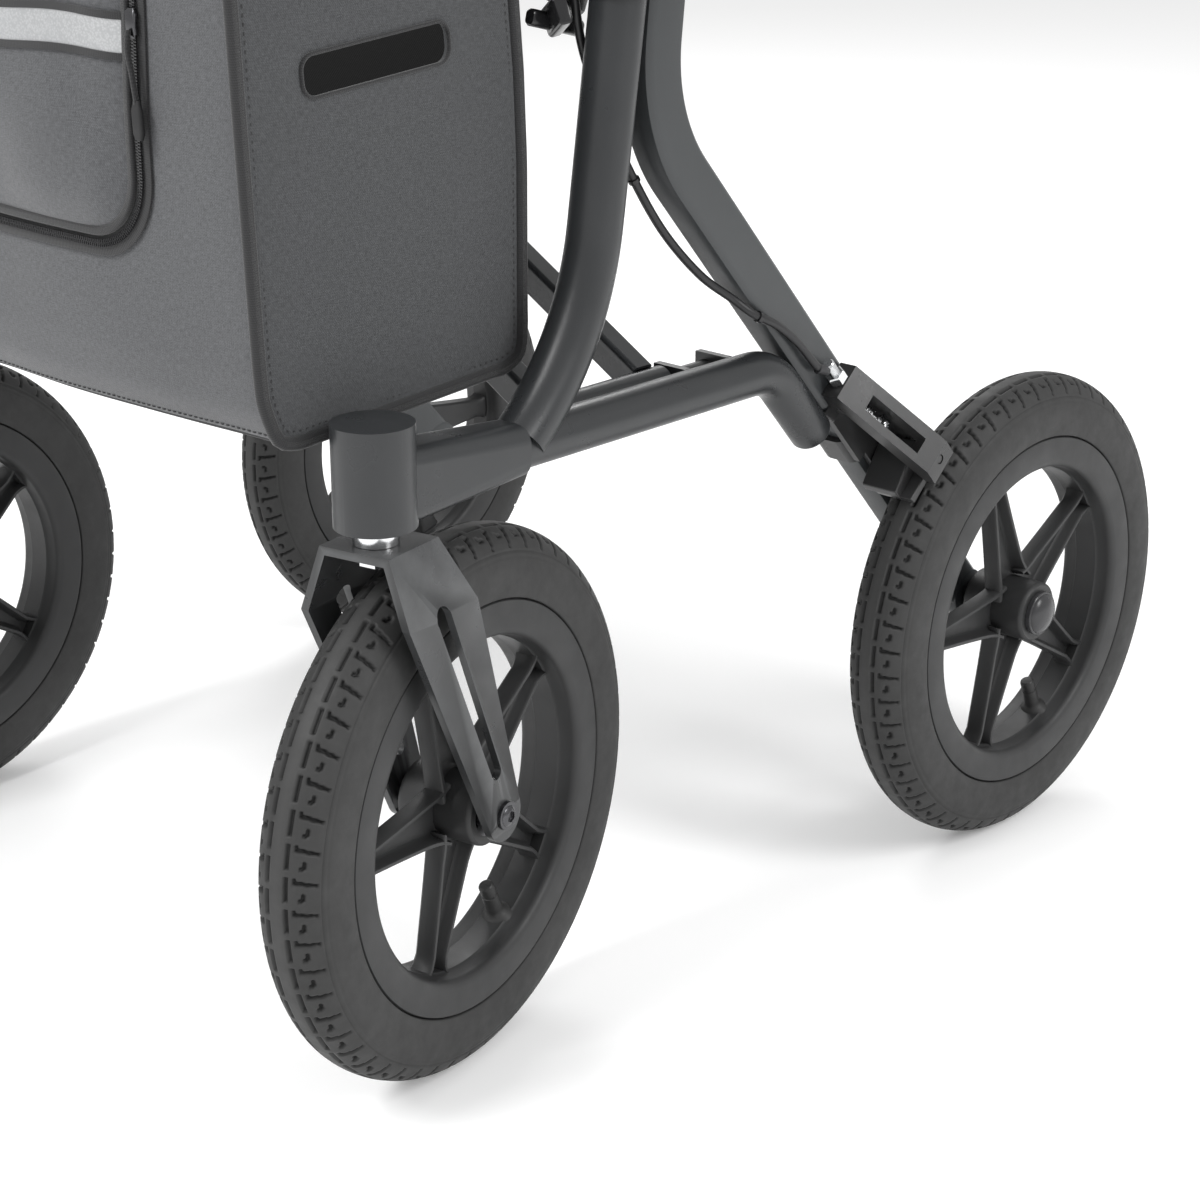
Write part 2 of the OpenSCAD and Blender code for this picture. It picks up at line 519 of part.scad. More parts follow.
rear_tyre(1);  // rear_tyre_left
rear_tyre(-1);  // rear_tyre_right
rear_inner_tube(1);  // rear_inner_tube_left
rear_inner_tube(-1);  // rear_inner_tube_right
hub_cap(1);  // hub_cap_left
hub_cap(-1);  // hub_cap_right
brake_housing(1);  // brake_housing_left
brake_housing(-1);  // brake_housing_right
brake_arm(1);  // brake_arm_left
brake_arm(-1);  // brake_arm_right
brake_fittings(1);  // brake_fittings_left
brake_fittings(-1);  // brake_fittings_right
brake_cable(1);  // brake_cable_left
brake_cable(-1);  // brake_cable_right
handle_tube(1);  // handle_tube_left
handle_tube(-1);  // handle_tube_right
hand_grip(1);  // hand_grip_left
hand_grip(-1);  // hand_grip_right
lever_mount(1);  // lever_mount_left
lever_mount(-1);  // lever_mount_right
brake_lever(1);  // brake_lever_left
brake_lever(-1);  // brake_lever_right
height_knob(1);  // height_knob_left
height_knob(-1);  // height_knob_right
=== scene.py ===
import bpy, bmesh, math, json, random
from mathutils import Vector, Matrix, noise


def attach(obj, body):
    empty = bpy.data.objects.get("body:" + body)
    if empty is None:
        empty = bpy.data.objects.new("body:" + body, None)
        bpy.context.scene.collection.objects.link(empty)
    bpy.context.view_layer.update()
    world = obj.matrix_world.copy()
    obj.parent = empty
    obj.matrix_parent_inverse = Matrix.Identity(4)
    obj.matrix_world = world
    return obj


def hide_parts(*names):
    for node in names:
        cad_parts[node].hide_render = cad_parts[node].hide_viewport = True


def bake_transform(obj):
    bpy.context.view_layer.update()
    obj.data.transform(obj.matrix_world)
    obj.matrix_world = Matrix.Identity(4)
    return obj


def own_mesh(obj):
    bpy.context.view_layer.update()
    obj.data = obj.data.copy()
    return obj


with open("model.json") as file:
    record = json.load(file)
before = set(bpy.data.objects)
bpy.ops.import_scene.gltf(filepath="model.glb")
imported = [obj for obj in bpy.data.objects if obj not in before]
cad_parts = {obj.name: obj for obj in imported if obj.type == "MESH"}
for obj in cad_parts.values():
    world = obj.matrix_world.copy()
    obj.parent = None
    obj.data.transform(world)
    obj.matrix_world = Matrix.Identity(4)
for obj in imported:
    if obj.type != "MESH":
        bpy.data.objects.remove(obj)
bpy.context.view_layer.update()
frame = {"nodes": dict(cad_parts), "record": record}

CAD = frame["nodes"]
BODY = {n: b for b, ns in frame["record"]["behaviour"]["bodies"].items() for n in ns}
K = 0.001  # the numbers below are millimetres
rad = math.radians
SIDES = (("left", 1), ("right", -1))

# ------------------------------------------------------------------ camera first
cam_d = bpy.data.cameras.new("camera")
cam_d.sensor_width = 36.0
cam_d.lens = 75.45
cam = bpy.data.objects.new("camera", cam_d)
bpy.context.scene.collection.objects.link(cam)
cam.location = Vector((1.1551, -1.0920, 0.7393))
aim = Vector((0.2661, -0.1335, 0.2500))
cam.rotation_euler = (aim - cam.location).to_track_quat("-Z", "Y").to_euler()
bpy.context.scene.camera = cam


# ------------------------------------------------------------------ mesh helpers
def link(o):
    bpy.context.scene.collection.objects.link(o)
    return o


def mesh_obj(name, verts, faces, mats=None, smooth=True, sharp=40, mat_ids=None, uvs=None, scale=K):
    me = bpy.data.meshes.new(name)
    me.from_pydata([tuple(c * scale for c in v) for v in verts], [], faces)
    if mats:
        for m in mats if isinstance(mats, (list, tuple)) else [mats]:
            me.materials.append(m)
    if mat_ids:
        me.polygons.foreach_set("material_index", mat_ids)
    if uvs:
        uvl = me.uv_layers.new(name="UVMap")
        for p in me.polygons:
            for li in p.loop_indices:
                uvl.data[li].uv = uvs[me.loops[li].vertex_index]
    me.polygons.foreach_set("use_smooth", [smooth] * len(me.polygons))
    if smooth and sharp:
        me.set_sharp_from_angle(angle=rad(sharp))
    me.update()
    return link(bpy.data.objects.new(name, me))


def baked(o):
    """Puts the result of an object's modifiers into its mesh."""
    dg = bpy.context.evaluated_depsgraph_get()
    dg.update()
    me = bpy.data.meshes.new_from_object(o.evaluated_get(dg), preserve_all_data_layers=True, depsgraph=dg)
    old = o.data
    o.modifiers.clear()
    o.data = me
    if old.users == 0:
        bpy.data.meshes.remove(old)
    return o


def mirrored(o, name):
    """A copy on the other side of the middle plane."""
    me = o.data.copy()
    me.name = name
    me.transform(Matrix.Diagonal((-1, 1, 1, 1)))
    me.flip_normals()
    return link(bpy.data.objects.new(name, me))


def joined(name, objs):
    """One mesh out of several objects, with their materials kept."""
    bm = bmesh.new()
    mats = []
    for o in objs:
        ids = []
        for m in o.data.materials:
            if m not in mats:
                mats.append(m)
            ids.append(mats.index(m))
        tmp = o.data.copy()
        tmp.transform(o.matrix_world)
        for p in tmp.polygons:
            p.material_index = ids[p.material_index] if ids else 0
        bm.from_mesh(tmp)
        bpy.data.meshes.remove(tmp)
    me = bpy.data.meshes.new(name)
    bm.to_mesh(me)
    bm.free()
    for m in mats:
        me.materials.append(m)
    for o in objs:
        d = o.data
        bpy.data.objects.remove(o)
        if d.users == 0:
            bpy.data.meshes.remove(d)
    return link(bpy.data.objects.new(name, me))


def soften(node, mat, width=0.8, segs=2, angle=28, name=None, flat=1.2):
    """A finished copy of a CAD node: merged facets, rounded edges, smooth shading."""
    src = CAD[node].data
    bm = bmesh.new()
    bm.from_mesh(src)
    for lay in list(bm.loops.layers.float_vector.values()):
        bm.loops.layers.float_vector.remove(lay)
    bmesh.ops.remove_doubles(bm, verts=bm.verts, dist=2e-6)
    bmesh.ops.dissolve_limit(bm, angle_limit=rad(flat), verts=bm.verts, edges=bm.edges)
    verts = [v.co.copy() for v in bm.verts]
    bm.verts.index_update()
    faces = [[v.index for v in f.verts] for f in bm.faces]
    bm.free()
    o = mesh_obj(name or node + "_fine", verts, faces, mat, smooth=True, sharp=angle, scale=1)
    if width:
        b = o.modifiers.new("bevel", "BEVEL")
        b.width = width * K
        b.segments = segs
        b.limit_method = "ANGLE"
        b.angle_limit = rad(angle)
        b.use_clamp_overlap = True
        b.harden_normals = False
        b.miter_outer = "MITER_ARC"
        baked(o)
        o.data.polygons.foreach_set("use_smooth", [True] * len(o.data.polygons))
        o.data.set_sharp_from_angle(angle=rad(50))
        wn = o.modifiers.new("weighted", "WEIGHTED_NORMAL")
        wn.mode = "FACE_AREA"
        wn.weight = 90
        wn.keep_sharp = True
        baked(o)
    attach(o, BODY[node])
    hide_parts(node)
    return o


def frames_along(pts, up=Vector((1, 0, 0))):
    """Tangent, side and normal at each point of a path, kept from twisting."""
    pts = [Vector(p) for p in pts]
    out = []
    for i, p in enumerate(pts):
        t = (pts[min(i + 1, len(pts) - 1)] - pts[max(i - 1, 0)]).normalized()
        if i == 0:
            s = up - t * up.dot(t)
            s = s.normalized() if s.length > 1e-6 else t.orthogonal().normalized()
        else:
            s = s - t * s.dot(t)
            s.normalize()
        out.append((p, t, s, s.cross(t)))
    return out


def sweep(name, pts, section, mat, up=(1, 0, 0), caps=True, closed=False, uv=False, sharp=40, scales=None):
    """Sweeps a 2D section, (side, normal), along a path."""
    if closed:
        fr = frames_along(list(pts) + [pts[0]], Vector(up))
        fr = fr[:-1]
        t0 = (Vector(pts[1]) - Vector(pts[-1])).normalized()
        s0 = Vector(up) - t0 * Vector(up).dot(t0)
        fr = []
        for i in range(len(pts)):
            t = (Vector(pts[(i + 1) % len(pts)]) - Vector(pts[i - 1])).normalized()
            s = Vector(up) - t * Vector(up).dot(t)
            s.normalize()
            fr.append((Vector(pts[i]), t, s, s.cross(t)))
    else:
        fr = frames_along(pts, Vector(up))
    n = len(section)
    verts, faces, uvs = [], [], []
    run = 0.0
    per = [0.0]
    for i in range(n):
        a, b = section[i], section[(i + 1) % n]
        per.append(per[-1] + math.hypot(a[0] - b[0], a[1] - b[1]))
    for k, (p, t, s, m) in enumerate(fr):
        if k:
            run += (p - fr[k - 1][0]).length
        f = scales[k] if scales else 1.0
        for j, (a, b) in enumerate(section):
            verts.append(p + s * a * f + m * b * f)
            uvs.append((run * K, per[j] * K))
    m_ = len(fr)
    for k in range(m_ if closed else m_ - 1):
        for j in range(n):
            a = k * n + j
            b = k * n + (j + 1) % n
            c = ((k + 1) % m_) * n + (j + 1) % n
            d = ((k + 1) % m_) * n + j
            faces.append((a, b, c, d))
    if caps and not closed:
        faces.append(tuple(range(n - 1, -1, -1)))
        faces.append(tuple((m_ - 1) * n + j for j in range(n)))
    return mesh_obj(name, verts, faces, mat, sharp=sharp, uvs=uvs if uv else None)


def circle(r, n=40, ry=None):
    ry = ry or r
    return [(r * math.cos(2 * math.pi * i / n), ry * math.sin(2 * math.pi * i / n)) for i in range(n)]


def rrect(w, h, r, n=6):
    out = []
    for cx, cy, a0 in ((w / 2 - r, h / 2 - r, 0), (-w / 2 + r, h / 2 - r, 90), (-w / 2 + r, -h / 2 + r, 180), (w / 2 - r, -h / 2 + r, 270)):
        for i in range(n + 1):
            a = rad(a0 + 90 * i / n)
            out.append((cx + r * math.cos(a), cy + r * math.sin(a)))
    return out


def catmull(pts, n=6, closed=False):
    P = [Vector(p) for p in pts]
    m = len(P)
    out = []
    for i in range(m if closed else m - 1):
        if closed:
            p0, p1, p2, p3 = P[i - 1], P[i], P[(i + 1) % m], P[(i + 2) % m]
        else:
            p0, p1, p2, p3 = P[max(i - 1, 0)], P[i], P[i + 1], P[min(i + 2, m - 1)]
        for k in range(n):
            t = k / n
            out.append(0.5 * (2 * p1 + (p2 - p0) * t + (2 * p0 - 5 * p1 + 4 * p2 - p3) * t * t + (3 * p1 - p0 - 3 * p2 + p3) * t * t * t))
    if not closed:
        out.append(P[-1].copy())
    return out


def lathe(name, prof, mat, n=96, origin=(0, 0, 0), axis="X", sharp=35, closed=False):
    """Turns (axial, radius) points about an axis through origin."""
    verts, faces = [], []
    m = len(prof)
    for i in range(n):
        a = 2 * math.pi * i / n
        for x, r in prof:
            c, s = r * math.cos(a), r * math.sin(a)
            v = (x, c, s) if axis == "X" else ((c, s, x) if axis == "Z" else (s, x, c))
            verts.append((v[0] + origin[0], v[1] + origin[1], v[2] + origin[2]))
    for i in range(n):
        k = (i + 1) % n
        for j in range(m if closed else m - 1):
            a, b, c, d = i * m + j, i * m + (j + 1) % m, k * m + (j + 1) % m, k * m + j
            faces.append((a, b, c, d))
    o = mesh_obj(name, verts, faces, mat, sharp=None)
    bm = bmesh.new()
    bm.from_mesh(o.data)
    bmesh.ops.remove_doubles(bm, verts=bm.verts, dist=1e-7)
    bmesh.ops.recalc_face_normals(bm, faces=bm.faces)
    bm.to_mesh(o.data)
    bm.free()
    o.data.set_sharp_from_angle(angle=rad(sharp))
    return o


def placed(o, m):
    o.data.transform(m)
    return o


def on(piece, body, replaces=()):
    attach(piece, body)
    if replaces:
        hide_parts(*replaces)
    return piece


# ------------------------------------------------------------------ materials
def nd(nt, kind, **kw):
    n = nt.nodes.new(kind)
    for k, v in kw.items():
        if k.startswith("i_"):
            key = k[2:]
            n.inputs[int(key) if key.isdigit() else key.replace("_", " ")].default_value = v
        else:
            setattr(n, k, v)
    return n


def base_mat(name, rough=0.5, metallic=0.0, spec=0.5):
    m = bpy.data.materials.new(name)
    m.use_nodes = True
    nt = m.node_tree
    nt.nodes.clear()
    out = nt.nodes.new("ShaderNodeOutputMaterial")
    b = nt.nodes.new("ShaderNodeBsdfPrincipled")
    nt.links.new(b.outputs[0], out.inputs[0])
    b.inputs["Roughness"].default_value = rough
    b.inputs["Metallic"].default_value = metallic
    b.inputs["Specular IOR Level"].default_value = spec
    return m, nt, b


def noise_tex(nt, vec, scale, detail=3.0, rough=0.55):
    t = nd(nt, "ShaderNodeTexNoise")
    t.inputs["Scale"].default_value = scale
    t.inputs["Detail"].default_value = detail
    t.inputs["Roughness"].default_value = rough
    nt.links.new(vec, t.inputs["Vector"])
    return t.outputs["Fac"]


def ramp(nt, fac, stops):
    r = nd(nt, "ShaderNodeValToRGB")
    el = r.color_ramp.elements
    while len(el) > 1:
        el.remove(el[-1])
    el[0].position, el[0].color = stops[0][0], (*stops[0][1], 1) if len(stops[0][1]) == 3 else stops[0][1]
    for p, c in stops[1:]:
        e = el.new(p)
        e.color = (*c, 1)
    nt.links.new(fac, r.inputs[0])
    return r.outputs[0]


def grey(v):
    return (v, v, v)


def mix(nt, fac, a, b, mode="MIX"):
    m = nd(nt, "ShaderNodeMix", data_type="RGBA", blend_type=mode)
    for sock, val in ((m.inputs[0], fac), (m.inputs[6], a), (m.inputs[7], b)):
        if hasattr(val, "is_linked") or hasattr(val, "links"):
            nt.links.new(val, sock)
        elif isinstance(val, (int, float)):
            sock.default_value = val
        else:
            sock.default_value = (*val, 1)
    return m.outputs[2]


def math_(nt, op, a, b=None, c=None):
    m = nd(nt, "ShaderNodeMath", operation=op)
    for i, v in enumerate((a, b, c)):
        if v is None:
            continue
        if isinstance(v, (int, float)):
            m.inputs[i].default_value = v
        else:
            nt.links.new(v, m.inputs[i])
    return m.outputs[0]


def bump(nt, b, layers):
    """Stacks height fields, [(height, strength, distance in metres)], under one normal."""
    last = None
    for h, strength, dist in layers:
        n = nd(nt, "ShaderNodeBump")
        n.inputs["Strength"].default_value = strength
        n.inputs["Distance"].default_value = dist
        nt.links.new(h, n.inputs["Height"])
        if last is not None:
            nt.links.new(last, n.inputs["Normal"])
        last = n.outputs[0]
    nt.links.new(last, b.inputs["Normal"])


def obj_coords(nt):
    return nd(nt, "ShaderNodeTexCoord").outputs["Object"]


def painted(name, col, rough=0.36, edge=0.35, grain=0.00012, spec=0.5, coat=0.0):
    """Powder coat: fine orange peel, a slight shift of tone, a painted highlight on convex edges broken up like wear, a
    little dust.
    """
    m, nt, b = base_mat(name, rough, 0.0, spec)
    v = obj_coords(nt)
    tone = noise_tex(nt, v, 9.0, 4.0)
    c = ramp(nt, tone, [(0.35, tuple(x * 0.94 for x in col)), (0.65, tuple(x * 1.05 for x in col))])
    speck = noise_tex(nt, v, 2600.0, 2.0)
    c = mix(nt, ramp(nt, speck, [(0.62, grey(0)), (0.70, grey(0.35))]), c, tuple(min(1, x * 1.7) for x in col))
    # painted highlight: convex edges, found by pointiness, are mixed towards a lighter colour, broken up by noise like
    # wear
    pt = nd(nt, "ShaderNodeNewGeometry").outputs["Pointiness"]
    highlight_wear_noise = noise_tex(nt, v, 60.0, 5.0)
    w = math_(nt, "MULTIPLY", ramp(nt, pt, [(0.56, grey(0)), (0.66, grey(1))]), ramp(nt, highlight_wear_noise, [(0.35, grey(0.45)), (0.7, grey(1))]))
    c = mix(nt, math_(nt, "MULTIPLY", w, edge), c, tuple(min(1, x * 2.6 + 0.02) for x in col))
    nt.links.new(c, b.inputs["Base Color"])
    r = ramp(nt, noise_tex(nt, v, 35.0, 4.0), [(0.3, grey(rough - 0.05)), (0.7, grey(rough + 0.07))])
    nt.links.new(r, b.inputs["Roughness"])
    if coat:
        b.inputs["Coat Weight"].default_value = coat
        b.inputs["Coat Roughness"].default_value = 0.25
    bump(nt, b, [(noise_tex(nt, v, 1300.0, 2.0), 0.35, grain), (noise_tex(nt, v, 5200.0, 1.0), 0.25, grain * 0.5)])
    return m


def moulded(name, col, rough=0.5, grain_scale=1700.0, grain=0.00009, spec=0.45, edge=0.25):
    """Moulded nylon: fine spark-eroded grain, flow shading, a slight painted highlight on convex edges."""
    m, nt, b = base_mat(name, rough, 0.0, spec)
    v = obj_coords(nt)
    c = ramp(nt, noise_tex(nt, v, 14.0, 5.0), [(0.3, tuple(x * 0.86 for x in col)), (0.7, tuple(x * 1.12 for x in col))])
    # painted highlight: convex edges, found by pointiness, are mixed towards a lighter colour
    pt = nd(nt, "ShaderNodeNewGeometry").outputs["Pointiness"]
    c = mix(nt, math_(nt, "MULTIPLY", ramp(nt, pt, [(0.52, grey(0)), (0.62, grey(1))]), edge), c, tuple(min(1, x * 2.2 + 0.012) for x in col))
    nt.links.new(c, b.inputs["Base Color"])
    nt.links.new(ramp(nt, noise_tex(nt, v, 45.0, 4.0), [(0.3, grey(rough - 0.06)), (0.7, grey(rough + 0.08))]), b.inputs["Roughness"])
    vo = nd(nt, "ShaderNodeTexVoronoi")
    vo.inputs["Scale"].default_value = grain_scale
    nt.links.new(v, vo.inputs["Vector"])
    bump(nt, b, [(vo.outputs["Distance"], 0.3, grain), (noise_tex(nt, v, grain_scale * 0.4, 3.0), 0.3, grain)])
    return m


def metal(name, col, rough=0.2, scratch=0.15, brushed=None, spec=0.5):
    """Plated or machined metal with fine scratches and uneven gloss."""
    m, nt, b = base_mat(name, rough, 1.0, spec)
    v = obj_coords(nt)
    c = ramp(nt, noise_tex(nt, v, 40.0, 5.0), [(0.3, tuple(x * 0.85 for x in col)), (0.7, col)])
    nt.links.new(c, b.inputs["Base Color"])
    mp = nd(nt, "ShaderNodeMapping")
    mp.inputs["Scale"].default_value = brushed or (900, 60, 60)
    nt.links.new(v, mp.inputs["Vector"])
    s = noise_tex(nt, mp.outputs[0], 1.0, 6.0, 0.7)
    nt.links.new(ramp(nt, s, [(0.35, grey(rough * 0.8)), (0.7, grey(rough * 1.35 + 0.03))]), b.inputs["Roughness"])
    bump(nt, b, [(s, scratch, 0.00004)])
    return m


def rubber(name, col, rough=0.72, dust=0.4):
    """Tyre rubber: fine mould texture, painted shade that darkens hollows and the tread's grooves, patchy dust over the
    surface and the tread's flats.
    """
    m, nt, b = base_mat(name, rough, 0.0, 0.4)
    v = obj_coords(nt)
    c = ramp(nt, noise_tex(nt, v, 22.0, 6.0), [(0.3, tuple(x * 0.85 for x in col)), (0.7, tuple(x * 1.15 for x in col))])
    pt = nd(nt, "ShaderNodeNewGeometry").outputs["Pointiness"]
    # painted shade: hollows, where pointiness is low, are darkened (all rubber parts)
    c = mix(nt, ramp(nt, pt, [(0.40, grey(0.75)), (0.49, grey(0))]), c, tuple(x * 0.35 for x in col))
    if name == "tyre_rubber":
        # painted shade: the tread's grooves, marked by the groove attribute, are darkened further
        at = nd(nt, "ShaderNodeAttribute")
        at.attribute_name = "groove"
        c = mix(nt, ramp(nt, at.outputs["Fac"], [(0.08, grey(0)), (0.75, grey(0.92))]), c, tuple(x * 0.18 for x in col))
        cr = nd(nt, "ShaderNodeAttribute")
        cr.attribute_name = "crown"
        c = mix(nt, math_(nt, "MULTIPLY", cr.outputs["Fac"], 0.8), c, tuple(x * 1.7 for x in col))
    c = mix(nt, math_(nt, "MULTIPLY", ramp(nt, noise_tex(nt, v, 160.0, 6.0), [(0.5, grey(0)), (0.75, grey(1))]), dust * 0.35), c, tuple(x * 1.6 + 0.02 for x in col))
    nt.links.new(c, b.inputs["Base Color"])
    nt.links.new(ramp(nt, noise_tex(nt, v, 90.0, 4.0), [(0.3, grey(rough - 0.08)), (0.7, grey(rough + 0.08))]), b.inputs["Roughness"])
    bump(nt, b, [(noise_tex(nt, v, 1500.0, 3.0), 0.35, 0.00010), (noise_tex(nt, v, 260.0, 3.0), 0.2, 0.00012)])
    return m


def twill(name, col, pitch=0.0011, rough=0.85, contrast=0.45, heather=0.35, sheen=0.35):
    """Woven twill on UVs that are in metres: diagonal ribs, crossing yarns, heathered yarn colour, painted shade in the
    weave's hollows.
    """
    m, nt, b = base_mat(name, rough, 0.0, 0.25)
    uv = nd(nt, "ShaderNodeTexCoord").outputs["UV"]
    sep = nd(nt, "ShaderNodeSeparateXYZ")
    nt.links.new(uv, sep.inputs[0])
    u, w = sep.outputs[0], sep.outputs[1]
    tau = 2 * math.pi / pitch
    diag = math_(nt, "SINE", math_(nt, "MULTIPLY", math_(nt, "ADD", u, math_(nt, "MULTIPLY", w, 0.72)), tau))
    weft = math_(nt, "SINE", math_(nt, "MULTIPLY", w, tau * 1.9))
    warp = math_(nt, "SINE", math_(nt, "MULTIPLY", u, tau * 1.9))
    h = math_(nt, "ADD", math_(nt, "MULTIPLY", diag, 0.5), math_(nt, "ADD", math_(nt, "MULTIPLY", weft, 0.28), math_(nt, "MULTIPLY", warp, 0.22)))
    h01 = math_(nt, "MULTIPLY_ADD", h, 0.5, 0.5)
    mp = nd(nt, "ShaderNodeMapping")
    mp.inputs["Scale"].default_value = (260, 1500, 1)
    nt.links.new(uv, mp.inputs["Vector"])
    yarn_a = noise_tex(nt, mp.outputs[0], 1.0, 3.0)
    mp2 = nd(nt, "ShaderNodeMapping")
    mp2.inputs["Scale"].default_value = (1500, 260, 1)
    nt.links.new(uv, mp2.inputs["Vector"])
    yarn_b = noise_tex(nt, mp2.outputs[0], 1.0, 3.0)
    heath = math_(nt, "MULTIPLY_ADD", math_(nt, "ADD", yarn_a, yarn_b), 0.5, 0.0)
    c = ramp(nt, heath, [(0.38, tuple(x * (1 - heather) for x in col)), (0.62, tuple(x * (1 + heather) for x in col))])
    # painted shade: where the weave's height is low, the colour is darkened by contrast
    c = mix(nt, math_(nt, "MULTIPLY", ramp(nt, h01, [(0.15, grey(1)), (0.6, grey(0))]), contrast), c, tuple(x * 0.45 for x in col))
    cloud = noise_tex(nt, obj_coords(nt), 11.0, 4.0)
    c = mix(nt, ramp(nt, cloud, [(0.3, grey(0.16)), (0.7, grey(0))]), c, tuple(x * 0.6 for x in col))
    nt.links.new(c, b.inputs["Base Color"])
    b.inputs["Sheen Weight"].default_value = sheen
    b.inputs["Sheen Roughness"].default_value = 0.5
    bump(nt, b, [(h01, 0.55, 0.00022), (heath, 0.3, 0.00012)])
    return m


def webbing(name, col, pitch=0.0012, rough=0.8):
    """Woven edge tape: ribs across its run, on UVs in metres, painted shade in its hollows and a painted highlight on
    its ribs.
    """
    m, nt, b = base_mat(name, rough, 0.0, 0.3)
    uv = nd(nt, "ShaderNodeTexCoord").outputs["UV"]
    sep = nd(nt, "ShaderNodeSeparateXYZ")
    nt.links.new(uv, sep.inputs[0])
    tau = 2 * math.pi / pitch
    r1 = math_(nt, "SINE", math_(nt, "MULTIPLY", sep.outputs[0], tau))
    r2 = math_(nt, "SINE", math_(nt, "MULTIPLY", math_(nt, "ADD", sep.outputs[1], math_(nt, "MULTIPLY", sep.outputs[0], 0.5)), tau * 1.3))
    h = math_(nt, "MULTIPLY_ADD", math_(nt, "ADD", r1, r2), 0.25, 0.5)
    # painted shade and highlight: the weave's low parts darker, its raised ribs lighter
    c = ramp(nt, h, [(0.2, tuple(x * 0.6 for x in col)), (0.8, tuple(x * 1.35 for x in col))])
    nt.links.new(c, b.inputs["Base Color"])
    b.inputs["Sheen Weight"].default_value = 0.25
    bump(nt, b, [(h, 0.6, 0.00020)])
    return m


M = {}
M["frame_paint"] = painted("frame_paint", (0.022, 0.0235, 0.025), rough=0.30)
M["leg_paint"] = painted("leg_paint", (0.036, 0.039, 0.041), rough=0.36)
# the fork's convex edges get a stronger painted highlight
M["fork_paint"] = painted("fork_paint", (0.028, 0.029, 0.030), rough=0.30, edge=0.7)
M["handle_paint"] = painted("handle_paint", (0.075, 0.080, 0.083), rough=0.28)
M["black_metal"] = painted("black_metal", (0.024, 0.024, 0.0245), rough=0.30, edge=0.5)
M["bright_steel"] = metal("bright_steel", (0.78, 0.79, 0.80), rough=0.13)
M["dark_steel"] = metal("dark_steel", (0.10, 0.10, 0.105), rough=0.26)
M["black_plastic"] = moulded("black_plastic", (0.020, 0.020, 0.022), rough=0.42)
M["cap_plastic"] = moulded("cap_plastic", (0.030, 0.030, 0.032), rough=0.24, grain=0.00003)
M["rim_plastic"] = moulded("rim_plastic", (0.021, 0.0213, 0.0217), rough=0.50)
M["tyre_rubber"] = rubber("tyre_rubber", (0.026, 0.026, 0.0258), rough=0.62)
M["inner_rubber"] = rubber("inner_rubber", (0.022, 0.022, 0.022), rough=0.5)
M["grip_rubber"] = rubber("grip_rubber", (0.022, 0.022, 0.023), rough=0.62, dust=0.15)
M["cable_jacket"] = moulded("cable_jacket", (0.012, 0.012, 0.013), rough=0.36, grain_scale=2600, grain=0.00003)
M["seat_fabric"] = twill("seat_fabric", (0.024, 0.025, 0.026), pitch=0.0014, contrast=0.5, sheen=0.4)
M["bag_fabric"] = twill("bag_fabric", (0.082, 0.084, 0.089), pitch=0.0013, contrast=0.5, sheen=0.3)
# painted shade: a darker copy of the bag's twill, worn by the side, back and bottom panels
M["bag_side"] = twill("bag_side", (0.058, 0.060, 0.063), pitch=0.0013, contrast=0.5, sheen=0.3)
M["bag_lining"] = twill("bag_lining", (0.003, 0.003, 0.003), pitch=0.0016, contrast=0.4, sheen=0.2)
M["binding"] = webbing("binding", (0.022, 0.022, 0.023))
M["strap_web"] = webbing("strap_web", (0.020, 0.020, 0.021), pitch=0.0018)
M["gloss_black"] = moulded("gloss_black", (0.014, 0.014, 0.015), rough=0.2, grain=0.00002)


def reflective(name):
    m, nt, b = base_mat(name, 0.42, 0.35, 0.6)
    uv = nd(nt, "ShaderNodeTexCoord").outputs["UV"]
    vo = nd(nt, "ShaderNodeTexVoronoi")
    vo.inputs["Scale"].default_value = 900.0
    nt.links.new(uv, vo.inputs["Vector"])
    c = ramp(nt, vo.outputs["Distance"], [(0.1, (0.50, 0.505, 0.51)), (0.7, (0.37, 0.375, 0.38))])
    cr = noise_tex(nt, obj_coords(nt), 30.0, 5.0)
    c = mix(nt, ramp(nt, cr, [(0.4, grey(0.3)), (0.7, grey(0))]), c, (0.36, 0.37, 0.38))
    nt.links.new(c, b.inputs["Base Color"])
    bump(nt, b, [(vo.outputs["Distance"], 0.25, 0.00008), (cr, 0.3, 0.0006)])
    return m


M["reflective"] = reflective("reflective")


# ------------------------------------------------------------------ sizes shared with the CAD
WR, BEAD, BARREL = 155.0, 117.0, 96.0
HEAD_X, HEAD_Y, TRAIL = 260.0, -292.4, 62.0
REAR_X, REAR_Y = 295.0, 230.4
YAW = {"left": 11.3, "right": 3.5}
LEAN = 8.6
US, UC = math.sin(rad(LEAN)), math.cos(rad(LEAN))


def up_y(z):
    return -126 + (z - 490) * math.tan(rad(LEAN))


def T(x, y, z):
    return Matrix.Translation((x * K, y * K, z * K))


def wheel_frame(kind, side, s):
    if kind == "rear":
        return T(s * REAR_X, REAR_Y, WR) @ (Matrix.Identity(4) if s > 0 else Matrix.Rotation(math.pi, 4, "Z"))
    return T(s * HEAD_X, HEAD_Y, 0) @ Matrix.Rotation(rad(YAW[side]), 4, "Z") @ T(0, TRAIL, WR)


# ------------------------------------------------------------------ tyres
def tyre_profile():
    """Outer line of the tyre from bead to bead, (x, radius)."""
    pts = []
    hw, H, top = 21.9, 26.5, WR
    cr = top - H
    for i in range(0, 181):
        a = rad(-26 + i * (232.0 / 180.0))
        ca, sa = math.cos(a), math.sin(a)
        n = 2.28
        x = hw * math.copysign(abs(ca) ** (2 / n), ca)
        r = cr + H * math.copysign(abs(sa) ** (2 / n), sa)
        pts.append((x, r))
    pts = [p for p in pts if p[1] > BEAD + 0.2]
    return pts


